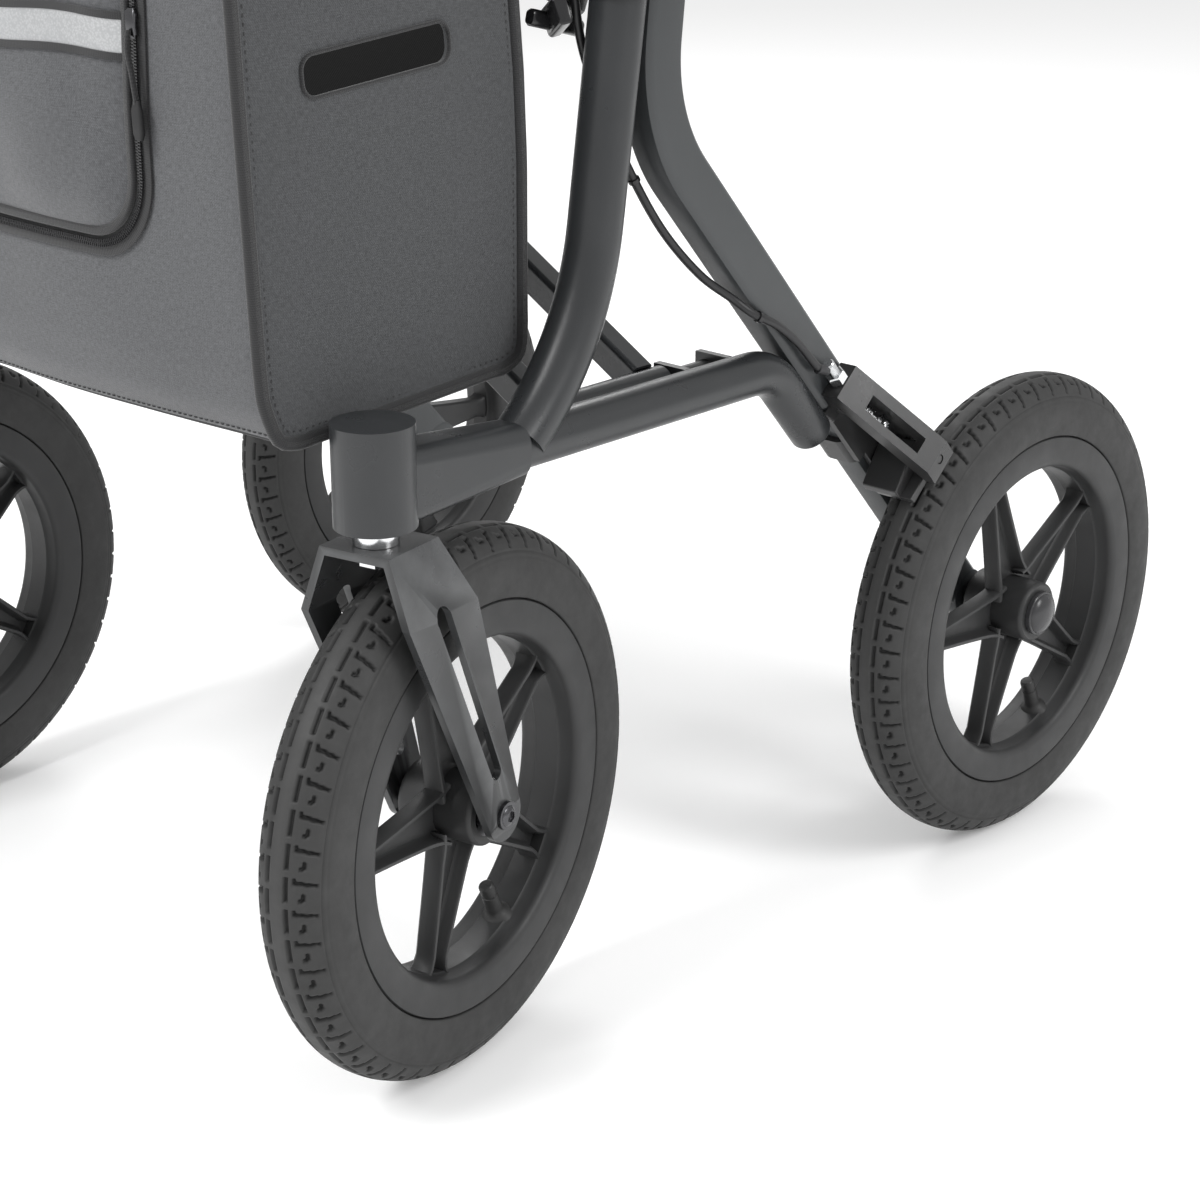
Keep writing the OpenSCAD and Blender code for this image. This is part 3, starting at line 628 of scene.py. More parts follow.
def resample(pts, step):
    out, acc = [pts[0]], 0.0
    L = [0.0]
    for a, b in zip(pts, pts[1:]):
        L.append(L[-1] + math.hypot(b[0] - a[0], b[1] - a[1]))
    n = max(2, int(round(L[-1] / step)))
    res = []
    j = 0
    for i in range(n + 1):
        s = L[-1] * i / n
        while j < len(L) - 2 and L[j + 1] < s:
            j += 1
        f = (s - L[j]) / max(1e-9, L[j + 1] - L[j])
        res.append((pts[j][0] + (pts[j + 1][0] - pts[j][0]) * f, pts[j][1] + (pts[j + 1][1] - pts[j][1]) * f, s - L[-1] / 2))
    return res


def soft_box(u, v, u0, u1, v0, v1, e=0.45):
    """1 inside a rounded rectangle, 0 outside, with sloped walls e wide."""
    du = max(u0 - u, u - u1, 0.0)
    dv = max(v0 - v, v - v1, 0.0)
    d = math.hypot(du, dv)
    return max(0.0, 1.0 - d / e) if d > 0 else 1.0


PITCH_N = 56


def tread_depth(u, v):
    """Groove depth at u along the tread, in pitches, and v across it in millimetres from the crown."""
    pl = 2 * math.pi * WR / PITCH_N
    side = 1 if v >= 0 else -1
    a = abs(v)
    uu = (u + (0.5 if side < 0 else 0.0)) % 1.0 * pl
    d = 0.0
    for k in (0, -pl, pl):
        w = uu + k
        # dashed grooves beside the crown rib
        d = max(d, 1.7 * soft_box(w, a, 2.0, 15.0, 4.6 - 0.25 * (w - 8) * 0.1, 6.4))
        # transverse groove with its fat inner end
        vv = a - 9.6
        bendu = 4.2 + 0.16 * vv
        if 9.0 < a < 23.5:
            wid = 1.9 - 0.06 * vv
            d = max(d, 1.8 * soft_box(w - bendu, a, -wid / 2, wid / 2, 7.4, 22.2, 0.55))
        d = max(d, 1.7 * soft_box(w - bendu + 0.9, a, -1.2, 0.6, 9.3, 10.6, 0.5))
        # short dash between the transverse grooves
        d = max(d, 1.6 * soft_box(w, a, 10.6, 14.2, 14.2 + 0.0, 15.7, 0.5))
        d = max(d, 1.6 * soft_box(w, a, 13.6, 15.0, 12.9, 14.6, 0.5))
    # fine lines where tread meets sidewall
    d = max(d, 0.5 * soft_box(0, a, -1, 1, 24.9, 25.2, 0.45))
    d = max(d, 0.35 * soft_box(0, a, -1, 1, 27.6, 27.8, 0.4))
    return d


def build_tyre():
    prof = resample(tyre_profile(), 0.8)
    seg_per = 22
    n = PITCH_N * seg_per
    inner = [(prof[-1][0] + 0.6, BEAD - 0.1), (prof[-1][0] + 4, BEAD - 0.4), (prof[0][0] - 4, BEAD - 0.4), (prof[0][0] - 0.6, BEAD - 0.1)]
    m = len(prof) + len(inner)
    nrm = []
    for i in range(len(prof)):
        a, b = prof[max(i - 1, 0)], prof[min(i + 1, len(prof) - 1)]
        tx, tr = b[0] - a[0], b[1] - a[1]
        l = math.hypot(tx, tr)
        nx, nr = tr / l, -tx / l
        if nr < 0 and abs(prof[i][2]) < 20:
            nx, nr = -nx, -nr
        nrm.append((nx, nr))
    # keep every normal pointing outward
    cx, cr = 0.0, WR - 26.5
    nrm = [((nx, nr) if (p[0] - cx) * nx + (p[1] - cr) * nr > 0 else (-nx, -nr)) for (nx, nr), p in zip(nrm, prof)]
    cache = {}
    verts, faces, groove, crown = [], [], [], []
    for i in range(n):
        th = 2 * math.pi * i / n
        c, s = math.cos(th), math.sin(th)
        u = (i % seg_per) / seg_per
        key = i % seg_per
        if key not in cache:
            row, gv, cv = [], [], []
            for (x, r, v), (nx, nr) in zip(prof, nrm):
                dd = tread_depth(u, v) * 1.35
                row.append((x - nx * dd, r - nr * dd))
                gv.append(min(1.0, dd / 2.0))
                cv.append(max(0.0, 1 - abs(v) / 5.5) ** 0.5 if dd < 0.2 else 0.0)
            row += inner
            cache[key] = (row, gv + [0.0] * len(inner), cv + [0.0] * len(inner))
        for x, r in cache[key][0]:
            verts.append((x, r * c, r * s))
        groove += cache[key][1]
        crown += cache[key][2]
    for i in range(n):
        k = (i + 1) % n
        for j in range(m):
            j2 = (j + 1) % m
            faces.append((i * m + j, k * m + j, k * m + j2, i * m + j2))
    o = mesh_obj("tyre_master", verts, faces, M["tyre_rubber"], sharp=None)
    # the groove attribute masks painted shade in the tread's grooves
    o.data.attributes.new("groove", "FLOAT", "POINT").data.foreach_set("value", groove)
    o.data.attributes.new("crown", "FLOAT", "POINT").data.foreach_set("value", crown)
    bm = bmesh.new()
    bm.from_mesh(o.data)
    bmesh.ops.recalc_face_normals(bm, faces=bm.faces)
    bm.to_mesh(o.data)
    bm.free()
    return o


tyre_master = build_tyre()
for side, s in SIDES:
    for kind in ("front", "rear"):
        t = link(bpy.data.objects.new(f"{kind}_tyre_tread_{side}", tyre_master.data))
        t.matrix_world = wheel_frame(kind, side, s) @ Matrix.Rotation(rad(3.1 if kind == "rear" else 1.2), 4, "X")
        on(t, f"{kind}_wheel_{side}", [f"{kind}_tyre_{side}"])
bpy.data.objects.remove(tyre_master)


# ------------------------------------------------------------------ rims, valves, hubs
def build_rim(half_in, half_out):
    """Deep one-piece rim: flange rings, stepped barrel, five channel spokes that flare into the hub."""
    parts = []
    prof = [(-19.5, BARREL + 2.2), (-20.3, BARREL + 5), (-20.5, BEAD - 3), (-20.2, BEAD - 1.4), (-18.6, BEAD - 0.6), (-16, BEAD - 1.5), (-14, BEAD - 8), (-7, BEAD - 10.5), (7, BEAD - 10.5),
            (14, BEAD - 8), (16, BEAD - 1.5), (18.6, BEAD - 0.6), (20.2, BEAD - 1.4), (20.5, BEAD - 3), (20.3, BARREL + 5), (19.5, BARREL + 2.2), (18.0, BARREL + 0.6), (15.5, BARREL - 0.2),
            (9.0, BARREL - 0.4), (7.5, BARREL - 1.6), (-7.5, BARREL - 1.6), (-9.0, BARREL - 0.4), (-15.5, BARREL - 0.2), (-18.0, BARREL + 0.6)]
    parts.append(lathe("rim_ring", prof, M["rim_plastic"], n=144, sharp=38, closed=True))
    hub = [(-half_in, 14.1), (-half_in, 18.2), (-half_in + 1.2, 19.6), (-half_in + 3, 20.0), (half_out - 3, 20.0), (half_out - 1.2, 19.6), (half_out, 18.2), (half_out, 14.1)]
    parts.append(lathe("rim_hub", hub, M["rim_plastic"], n=64, sharp=38))
    # one spoke as a loft: section is a U, open outboard, with rounded flanges
    def u_section(w, back, front, wall, lip):
        # (across, axial)
        return [(-w, back + 2.0), (-w + 1.6, back + 0.3), (-w * 0.5, back), (w * 0.5, back), (w - 1.6, back + 0.3), (w, back + 2.0), (w, front - 1.2), (w - 0.8, front), (w - wall, front), (w - wall - 0.8, front - 1.2),
                (w - wall - 1.4, lip + 1.6), (w - wall - 3.0, lip), (-w + wall + 3.0, lip), (-w + wall + 1.4, lip + 1.6), (-w + wall + 0.8, front - 1.2), (-w + wall, front), (-w + 0.8, front), (-w, front - 1.2)]
    st = []
    N_ = 14
    for i in range(N_ + 1):
        t = i / N_
        y = 15.5 + (BARREL + 1.5 - 15.5) * t
        w = 16.8 - 9.6 * min(1, t * 1.12) ** 0.8
        w += 4.2 * max(0, (t - 0.86) / 0.14) ** 1.8 + 2.0 * max(0, (0.12 - t) / 0.12) ** 1.5
        back = -5.0 - 1.5 * max(0, (t - 0.85) / 0.15) ** 2
        front = 8.0 + 1.0 * max(0, (t - 0.85) / 0.15) ** 2 + 1.5 * max(0, (0.2 - t) / 0.2)
        st.append((y, u_section(w, back, front, 2.6, 0.4)))
    for k in range(5):
        verts, faces = [], []
        n = len(st[0][1])
        for y, sec in st:
            for a, x in sec:
                verts.append((x, a, y))
        for i in range(N_):
            for j in range(n):
                faces.append((i * n + j, i * n + (j + 1) % n, (i + 1) * n + (j + 1) % n, (i + 1) * n + j))
        faces.append(tuple(range(n)))
        faces.append(tuple(N_ * n + j for j in range(n - 1, -1, -1)))
        sp = mesh_obj("spoke", verts, faces, M["rim_plastic"], sharp=40)
        bm = bmesh.new()
        bm.from_mesh(sp.data)
        bmesh.ops.recalc_face_normals(bm, faces=bm.faces)
        bm.to_mesh(sp.data)
        bm.free()
        sp.data.set_sharp_from_angle(angle=rad(40))
        sp.data.transform(Matrix.Rotation(rad(k * 72 + 18), 4, "X"))
        parts.append(sp)
    return joined("rim_master", parts)


def build_valve():
    parts = []
    stem = [(70, 0.2), (70.2, 3.4), (71, 4.3), (71.8, 4.6), (77.4, 4.6), (77.8, 4.0), (78.6, 4.0), (79.0, 4.7), (80.4, 4.9), (90, 4.9), (91.6, 5.4), (93.4, 7.0), (94.6, 9.0), (96.2, 10.2), (98.5, 10.6)]
    v = lathe("valve_stem", stem, M["inner_rubber"], n=28, axis="Z", sharp=30)
    parts.append(v)
    return joined("valve_master", parts)


rims = {"front": build_rim(24, 24), "rear": build_rim(22, 24)}
valve = build_valve()
for side, s in SIDES:
    for kind in ("front", "rear"):
        r = link(bpy.data.objects.new(f"{kind}_rim_cast_{side}", rims[kind].data))
        r.matrix_world = wheel_frame(kind, side, s)
        on(r, f"{kind}_wheel_{side}", [f"{kind}_rim_{side}"])
        v = link(bpy.data.objects.new(f"{kind}_valve_{side}", valve.data))
        v.matrix_world = wheel_frame(kind, side, s) @ Matrix.Rotation(rad(205), 4, "X")
        on(v, f"{kind}_wheel_{side}", [f"{kind}_inner_tube_{side}"])
for o in (rims["front"], rims["rear"], valve):
    bpy.data.objects.remove(o)

for side, s in SIDES:
    cap = [(0.0, 10.6), (0.0, 14.2), (0.4, 14.6), (3.2, 14.6), (3.7, 14.2), (3.8, 13.3), (4.3, 13.1), (5.2, 12.4), (6.4, 10.6), (7.6, 7.6), (8.5, 4.0), (8.85, 0.0)]
    c = lathe(f"hub_cap_dome_{side}", cap, M["cap_plastic"], n=56, sharp=32)
    placed(c, wheel_frame("rear", side, s) @ T(24, 0, 0))
    on(c, f"rear_wheel_{side}", [f"hub_cap_{side}"])
    soften(f"front_axle_{side}", M["dark_steel"], 0.5)
    soften(f"rear_axle_{side}", M["dark_steel"], 0.5)
    soften(f"fork_{side}", M["fork_paint"], 0.7, segs=2)
    soften(f"caster_stem_{side}", M["bright_steel"], 0.4)
    soften(f"head_lug_{side}", M["frame_paint"], 1.6, segs=3, angle=30, flat=2.0)


# ------------------------------------------------------------------ frame tubes
def arc_pts(cy, cz, R, a0, a1, step=3.0):
    """Points on an arc in the side plane, angles from +Y towards +Z."""
    n = max(2, int(abs(a1 - a0) / step))
    return [(cy + R * math.cos(rad(a0 + (a1 - a0) * i / n)), cz + R * math.sin(rad(a0 + (a1 - a0) * i / n))) for i in range(n + 1)]


def tube_yz(name, yz, x, section, mat, side, s, **kw):
    o = sweep(name, [(x, y, z) for y, z in yz], section, mat, up=(1, 0, 0), **kw)
    if s < 0:
        m = mirrored(o, name + "_m")
        bpy.data.objects.remove(o)
        m.name = name
        o = m
    return o


def lin(a, b, n):
    return [(a[0] + (b[0] - a[0]) * i / n, a[1] + (b[1] - a[1]) * i / n) for i in range(n + 1)]


LEGX, LVY, LVZ, LL, LD = 254.0, -85.5, 506.5, 6.5, 42.0
LT = 100 * math.tan(rad((LL + LD) / 2))
leg_top = (LVY + (LT + 96) * math.sin(rad(LL)), LVZ + (LT + 96) * math.cos(rad(LL)))
leg_a = (LVY + LT * math.sin(rad(LL)), LVZ + LT * math.cos(rad(LL)))
leg_b = (LVY + LT * math.sin(rad(LD)), LVZ - LT * math.cos(rad(LD)))
leg_c = (leg_a[0] + 100 * math.cos(rad(LL)), leg_a[1] - 100 * math.sin(rad(LL)))
leg_end = (LVY + 470 * math.sin(rad(LD)), LVZ - 470 * math.cos(rad(LD)))
leg_path = lin(leg_top, leg_a, 6)[:-1] + arc_pts(leg_c[0], leg_c[1], 100, 180 - LL, 180 + LD, 2.5)[:-1] + lin(leg_b, leg_end, 14)
# profile: rounded front and back, a cable channel in front, a shallow line on each flank; (sideways, normal)
LEG_SEC = [(-11, -9), (-10.6, -12), (-9.2, -14.2), (-6.6, -15), (6.6, -15), (9.2, -14.2), (10.6, -12), (11, -9), (11, 9.5), (10.6, 12.4), (9.0, 14.4), (6.6, 15), (4.3, 15), (3.6, 14.5), (3.5, 13.8), (3.5, 10.2), (-3.5, 10.2),
           (-3.5, 13.8), (-3.6, 14.5), (-4.3, 15), (-6.6, 15), (-9.0, 14.4), (-10.6, 12.4), (-11, 9.5)]

for side, s in SIDES:
    # lower tube, with its crimped and capped back end
    p = lin((-228, 351), (0, 351), 8)[:-1] + arc_pts(0, 313, 38, 90, 42, 3)[:-1]
    e0 = (38 * math.sin(rad(48)), 313 + 38 * math.cos(rad(48)))
    d = (math.cos(rad(48)), -math.sin(rad(48)))
    p += lin(e0, (e0[0] + 46 * d[0], e0[1] + 46 * d[1]), 4)
    p += [(e0[0] + (46 + q) * d[0], e0[1] + (46 + q) * d[1]) for q in (1.2, 2.0, 2.4)]
    n = len(p)
    t = tube_yz(f"lower_tube_bent_{side}", p, HEAD_X, circle(13, 44), M["frame_paint"], side, s, scales=[1] * (n - 3) + [0.96, 0.86, 0.70])
    on(t, f"frame_{side}", [f"lower_tube_{side}"])
    # front upright
    top = (up_y(720), 720.0)
    a = (up_y(459), 459.0)
    c = (a[0] - 170 * UC, a[1] + 170 * US)
    end_a = -(LEAN + 41.4)
    p = lin(top, a, 10)[:-1] + arc_pts(c[0], c[1], 170, -LEAN, end_a, 2.2)
    t = tube_yz(f"upright_bent_{side}", p, HEAD_X, circle(15, 48), M["frame_paint"], side, s)
    on(t, f"frame_{side}", [f"front_upright_{side}"])
    # rear leg with its axle boss
    leg = tube_yz(f"leg_profile_{side}", leg_path, LEGX, LEG_SEC, M["leg_paint"], side, s, sharp=28)
    boss = lathe("boss", [(-12, 6.1), (-12, 14.6), (-11.2, 15.8), (-10, 16.2), (9.5, 16.2), (10.8, 15.8), (11.3, 14.6), (11.3, 6.1)], M["leg_paint"], n=48, origin=(s * LEGX, REAR_Y, WR), sharp=35)
    leg = joined(f"leg_profile_{side}", [leg, boss])
    on(leg, f"frame_{side}", [f"rear_leg_{side}"])
    soften(f"frame_clamp_{side}", M["black_plastic"], 2.2, segs=3)
    soften(f"brace_mount_{side}", M["black_metal"], 0.9)
    soften(f"seat_rail_{side}", M["black_metal"], 0.8)
    # screws of the frame clamp
    scr = []
    for y, z in ((-118, 630), (-62, 630), (-118, 606), (-62, 606)):
        b = lathe("scr", [(0, 0.1), (0.2, 2.2), (1.4, 2.2), (1.5, 2.6), (2.2, 4.4), (2.6, 4.9), (2.2, 5.4), (0.4, 5.5), (-1.0, 5.5)], M["bright_steel"], n=28, sharp=30)
        placed(b, T(s * 278.0, y, z) @ (Matrix.Identity(4) if s > 0 else Matrix.Rotation(math.pi, 4, "Z")))
        scr.append(b)
    scr = joined(f"clamp_screws_{side}", scr)
    on(scr, f"frame_{side}")
# under-seat catch: glossy black bars between bag and upright
for side, s in SIDES:
    bars = []
    for x0, y0, z0, x1, y1, z1, w_, h_ in ((236, -150, 586, 233, -112, 570, 9, 13), (229, -147, 566, 228, -108, 556, 7, 9), (246, -140, 571, 226, -128, 561, 8, 16)):
        bars.append(sweep("bar", [(x0, y0, z0), (x0 + (x1 - x0) * 0.04, y0 + (y1 - y0) * 0.04, z0 + (z1 - z0) * 0.04), (x0 + (x1 - x0) * 0.96, y0 + (y1 - y0) * 0.96, z0 + (z1 - z0) * 0.96), (x1, y1, z1)], rrect(w_, h_, 2.4, 4), M["gloss_black"], up=(1, 0, 0) if x0 - x1 < 10 else (0, 1, 0), scales=[0.8, 1, 1, 0.8]))
    c = joined(f"seat_catch_{side}", bars)
    if s < 0:
        m = mirrored(c, c.name + "_m")
        bpy.data.objects.remove(c)
        c = m
    on(c, f"frame_{side}")
for n_ in ("cross_link_a", "cross_link_b"):
    soften(n_, M["frame_paint"], 0.9)
soften("centre_bolts", M["bright_steel"], 0.6)


# ------------------------------------------------------------------ shopping bag
BW, BTOP = 229.0, 604.0


def interp(tab, z):
    for (z0, y0), (z1, y1) in zip(tab, tab[1:]):
        if z <= z1:
            t = max(0.0, (z - z0) / (z1 - z0))
            return y0 + (y1 - y0) * t
    return tab[-1][1]


FRONT = [(371, -312), (374, -320), (378, -326), (384, -331), (392, -334.5), (411, -337), (450, -338.5), (490, -340), (540, -342), (584, -343.5), (604, -344.5)]
BACK = [(384, -166), (386, -161), (390, -157.5), (396, -156), (493, -155.2), (540, -157), (576, -160), (604, -162)]


def bag_noise(x, y, z, f=0.012, seed=0.0):
    return noise.noise(Vector((x * f + seed, y * f, z * f)))


def front_y(x, z):
    """Front wall: a little fuller in its middle, with shallow standing folds."""
    u = max(0.0, 1 - (abs(x) / BW) ** 2.4)
    full = 5.0 * u * math.sin(math.pi * min(1, max(0, (z - 372) / 260)) ** 0.8)
    fold = 1.3 * math.sin(x * 0.031 + 1.2 * math.sin(z * 0.011)) * u + 1.1 * bag_noise(x, 0, z, 0.016, 4.0) * u
    return interp(FRONT, z) - full - fold


def grid(name, nu, nv, fn, mat, thick=None, inner=None, flip=False, uvf=None):
    verts, faces, uvs = [], [], []
    for j in range(nv + 1):
        for i in range(nu + 1):
            u, v = i / nu, j / nv
            p = fn(u, v)
            verts.append(p)
            uvs.append(uvf(p) if uvf else (p[0] * K, p[2] * K))
    for j in range(nv):
        for i in range(nu):
            a = j * (nu + 1) + i
            f = (a, a + 1, a + nu + 2, a + nu + 1)
            faces.append(tuple(reversed(f)) if flip else f)
    o = mesh_obj(name, verts, faces, [mat, inner] if inner else mat, sharp=60, uvs=uvs)
    if thick:
        s = o.modifiers.new("solid", "SOLIDIFY")
        s.thickness = thick * K
        s.offset = -1
        if inner:
            s.material_offset = 1
            s.material_offset_rim = 1
        baked(o)
        o.data.polygons.foreach_set("use_smooth", [True] * len(o.data.polygons))
        o.data.set_sharp_from_angle(angle=rad(60))
    return o


bag_parts = []


def front_fn(u, v):
    x = -BW + 2 * BW * u
    z0 = 371 - 4.0 * (1 - (x / BW) ** 2)
    z = z0 + (BTOP - z0) * v
    zz = 371 + (BTOP - 371) * v
    return (x, front_y(x, zz), z)


bag_parts.append(grid("bag_front", 92, 60, front_fn, M["bag_fabric"], 2.2, M["bag_lining"]))


def bottom_fn(u, v):
    x = -BW + 2 * BW * u
    y0, z0 = front_y(x, 371), 371 - 4.0 * (1 - (x / BW) ** 2)
    y = y0 + (-163 - y0) * v
    z = z0 + (385.5 - z0) * v - 5.0 * (1 - (x / BW) ** 2) * math.sin(math.pi * v) + 0.8 * bag_noise(x, y, 0, 0.02)
    return (x, y, z)


bag_parts.append(grid("bag_bottom", 60, 20, bottom_fn, M["bag_side"], 2.2, M["bag_lining"], flip=True, uvf=lambda p: (p[0] * K, p[1] * K)))


def back_fn(u, v):
    x = -BW + 2 * BW * u
    z = 385.5 + (BTOP - 385.5) * v
    return (x, interp(BACK, z) - 4.0 * (1 - (x / BW) ** 2) * math.sin(math.pi * v) ** 0.7 - 2.0, z)


bag_parts.append(grid("bag_back", 60, 30, back_fn, M["bag_side"], 2.2, M["bag_lining"], flip=True))


def side_zb(y):
    f = 374.8 + (y + 300) * 0.068
    if y < -312:
        f += 14.0 * ((-312 - y) / 24.0) ** 2.2
    if y > -170:
        f += 9.0 * ((y + 170) / 15.0) ** 2.2
    return f


def side_pt(u, v, s):
    z = 376 + (BTOP - 376) * v
    for _ in range(3):
        yf, yb = interp(FRONT, max(z, 384)) if z > 384 else -331 + (384 - z) * 0.6, interp(BACK, max(z, 388))
        y = yf + (yb - yf) * u
        zb = side_zb(y)
        z = zb + (BTOP - zb) * v
    b = math.sin(math.pi * u) ** 0.8 * math.sin(math.pi * min(1, v * 0.94 + 0.02)) ** 0.8
    x = BW + 0.6 + 2.6 * b + 0.9 * bag_noise(0, y, z, 0.018, 9.0 * s) * b
    return (x, y, z)


def bag_side_panel(s):
    nu, nv = 64, 76
    verts, uvs = [], []
    for j in range(nv + 1):
        for i in range(nu + 1):
            p = side_pt(i / nu, j / nv, s)
            verts.append(p)
            uvs.append((p[1] * K, p[2] * K))
    faces = []
    for j in range(nv):
        for i in range(nu):
            a = j * (nu + 1) + i
            faces.append((a, a + 1, a + nu + 2, a + nu + 1))
    o = mesh_obj("bag_side", verts, faces, [M["bag_side"], M["bag_lining"]], sharp=60, uvs=uvs)
    so = o.modifiers.new("solid", "SOLIDIFY")
    so.thickness = 2.6 * K
    so.offset = -1
    so.material_offset = 1
    so.material_offset_rim = 1
    # hand slot
    c, t = (-256.0, 556.5), rad(4.9)
    sec = rrect(97, 20.5, 7.5, 8)
    cv = []
    for x in (215, 245):
        for a, b in sec:
            cv.append((x, c[0] + a * math.cos(t) - b * math.sin(t), c[1] + a * math.sin(t) + b * math.cos(t)))
    n = len(sec)
    cf = [(i, (i + 1) % n, n + (i + 1) % n, n + i) for i in range(n)] + [tuple(range(n - 1, -1, -1)), tuple(range(n, 2 * n))]
    cut = mesh_obj("cut", cv, cf, None, sharp=None)
    bo = o.modifiers.new("slot", "BOOLEAN")
    bo.operation = "DIFFERENCE"
    bo.object = cut
    bo.solver = "EXACT"
    baked(o)
    bpy.data.objects.remove(cut)
    for p in o.data.polygons:
        p.use_smooth = True
    o.data.set_sharp_from_angle(angle=rad(60))
    parts = [o]
    # turned edge of the slot
    ring = [(BW + 2.4, c[0] + a * math.cos(t) - b * math.sin(t), c[1] + a * math.sin(t) + b * math.cos(t)) for a, b in rrect(97.5, 21, 7.8, 10)]
    parts.append(sweep("slot_edge", ring, rrect(2.6, 2.0, 0.9, 3), M["binding"], closed=True, uv=True))
    # bound edge of the panel
    bd = [side_pt(0, v / 40, s) for v in range(40, -1, -1)] + [side_pt(u / 36, 0, s) for u in range(1, 37)] + [side_pt(1, v / 40, s) for v in range(1, 41)]
    bd = catmull(bd[::2], 3)
    bd = [(BW + 0.4, p[1], p[2]) for p in bd]
    parts.append(sweep("side_binding", bd, rrect(5.4, 7.4, 2.4, 4), M["binding"], uv=True))
    # stitch line inside the binding
    parts.append(stitches("side_stitch", inset_line(bd, 6.2, s), (1, 0, 0), BW + 1.5))
    if s < 0:
        for i, q in enumerate(parts):
            m = mirrored(q, q.name + "_m")
            bpy.data.objects.remove(q)
            parts[i] = m
    return parts


def inset_line(bd, d, s):
    """A line inside the panel, d from its edge."""
    out = []
    for i in range(1, len(bd) - 1):
        a, b = Vector(bd[i - 1]), Vector(bd[i + 1])
        t = (b - a).normalized()
        n = Vector((1, 0, 0)).cross(t)
        out.append(Vector(bd[i]) + n * d)
    cy, cz = -250, 500
    if (out[len(out) // 2] - Vector((0, cy, cz))).length > (Vector(bd[len(bd) // 2]) - Vector((0, cy, cz))).length:
        out = [Vector(bd[i + 1]) * 2 - p for i, p in enumerate(out)]
    return out


def stitches(name, line, normal, x=None, pitch=4.2, length=2.7, r=0.42, mat=None):
    """A row of thread stitches along a line."""
    verts, faces = [], []
    acc, nxt = 0.0, 0.0
    nrm = Vector(normal)
    for a, b in zip(line, line[1:]):
        a, b = Vector(a), Vector(b)
        seg = (b - a).length
        if seg < 1e-6:
            continue
        t = (b - a).normalized()
        while nxt <= acc + seg:
            c = a + t * (nxt - acc)
            side = t.cross(nrm).normalized()
            base = len(verts)
            for k, (f, h) in enumerate(((-0.5, -0.1), (-0.3, 0.75), (0.3, 0.75), (0.5, -0.1))):
                for q in (-1, 1):
                    verts.append(c + t * length * f + side * r * q + nrm * h * r * 2)
            for k in range(3):
                faces.append((base + 2 * k, base + 2 * k + 1, base + 2 * k + 3, base + 2 * k + 2))
            nxt += pitch
        acc += seg
    return mesh_obj(name, verts, faces, mat or M["binding"], sharp=None)


for s in (1, -1):
    bag_parts += bag_side_panel(s)

# pocket flap on the front, bulged, with zip, reflective tape and bindings
FW, FZ0, FR = 151.0, 468.0, 36.0


def flap_hw(z):
    if z < FZ0 + FR:
        return FW - FR * (1 - math.sqrt(max(0.0, 1 - ((FZ0 + FR - z) / FR) ** 2)))
    return FW + (z - FZ0 - FR) * 0.05


def flap_pt(u, v, lift=0.0):
    z = FZ0 + 0.01 + (BTOP - 2 - FZ0) * v
    hw = flap_hw(z)
    x = -hw + 2 * hw * u
    e = min(1.0, min(u, 1 - u) * 2 * hw / 26.0)
    eb = min(1.0, (z - FZ0) / 24.0)
    puff = (math.sin(e * math.pi / 2) * math.sin(eb * math.pi / 2)) ** 0.7
    w = 1.6 * math.sin(x * 0.045 + z * 0.02) * puff + 2.2 * bag_noise(x, 0, z, 0.02, 2.0) * puff
    return (x, front_y(x, z) - 1.0 - 8.0 * puff - w - lift, z)


bag_parts.append(grid("bag_flap", 72, 40, lambda u, v: flap_pt(u, v), M["bag_fabric"], 1.6, M["bag_lining"]))


def band(z0, z1, mat, lift):
    def fn(u, v):
        z = z0 + (z1 - z0) * v + 1.2 * math.sin(u * 9.0) + 0.5 * math.sin(u * 23.0 + 1)
        vv = (z - FZ0) / (BTOP - 2 - FZ0)
        return flap_pt(u * 0.985 + 0.0075, vv, lift)
    return fn


for z0, z1, mt, lift in ((560.5, 577.5, "reflective", 1.0), (557.3, 561.0, "binding", 1.6), (577.0, 580.7, "binding", 1.6)):
    bag_parts.append(grid("bag_band", 90, 5 if mt == "reflective" else 2, band(z0, z1, mt, lift), M[mt], 0.7))

zl = []
for k in range(0, 41):
    z = BTOP - 4 - (BTOP - 4 - FZ0 - FR) * k / 40
    zl.append((flap_hw(z) + 5.0, z))
for k in range(1, 16):
    a = rad(90.0 * k / 15)
    zl.append((FW - FR + (FR + 5) * math.cos(a), FZ0 + FR - (FR + 5) * math.sin(a)))
half = list(zl)
for k in range(1, 30):
    zl.append((half[-1][0] - 2 * half[-1][0] * k / 30, FZ0 - 5.0))
zl += [(-x, z) for x, z in reversed(half)]
zip_path = [Vector((x, front_y(x, z) - 1.4, z)) for x, z in zl]
bag_parts.append(sweep("zip_tape", [p + Vector((0, 0.3, 0)) for p in zip_path], rrect(1.3, 13.5, 0.5, 2), M["binding"], up=(0, -1, 0), uv=True))
# flap's bound edge stands just inside the zip
edge_path = []
for p, (x, z) in zip(zip_path, zl):
    c = Vector((max(-FW + FR, min(FW - FR, x)), 0, max(FZ0 + FR, z)))
    d = Vector((x, 0, z)) - c
    q = c + d * ((d.length - 6.4) / d.length) if d.length > 1 else Vector((x, 0, z + 6.4))
    edge_path.append(Vector((q.x, front_y(q.x, q.z) - 2.9, q.z)))
bag_parts.append(sweep("flap_edge", edge_path, rrect(3.2, 5.0, 1.3, 3), M["binding"], up=(0, -1, 0), uv=True))


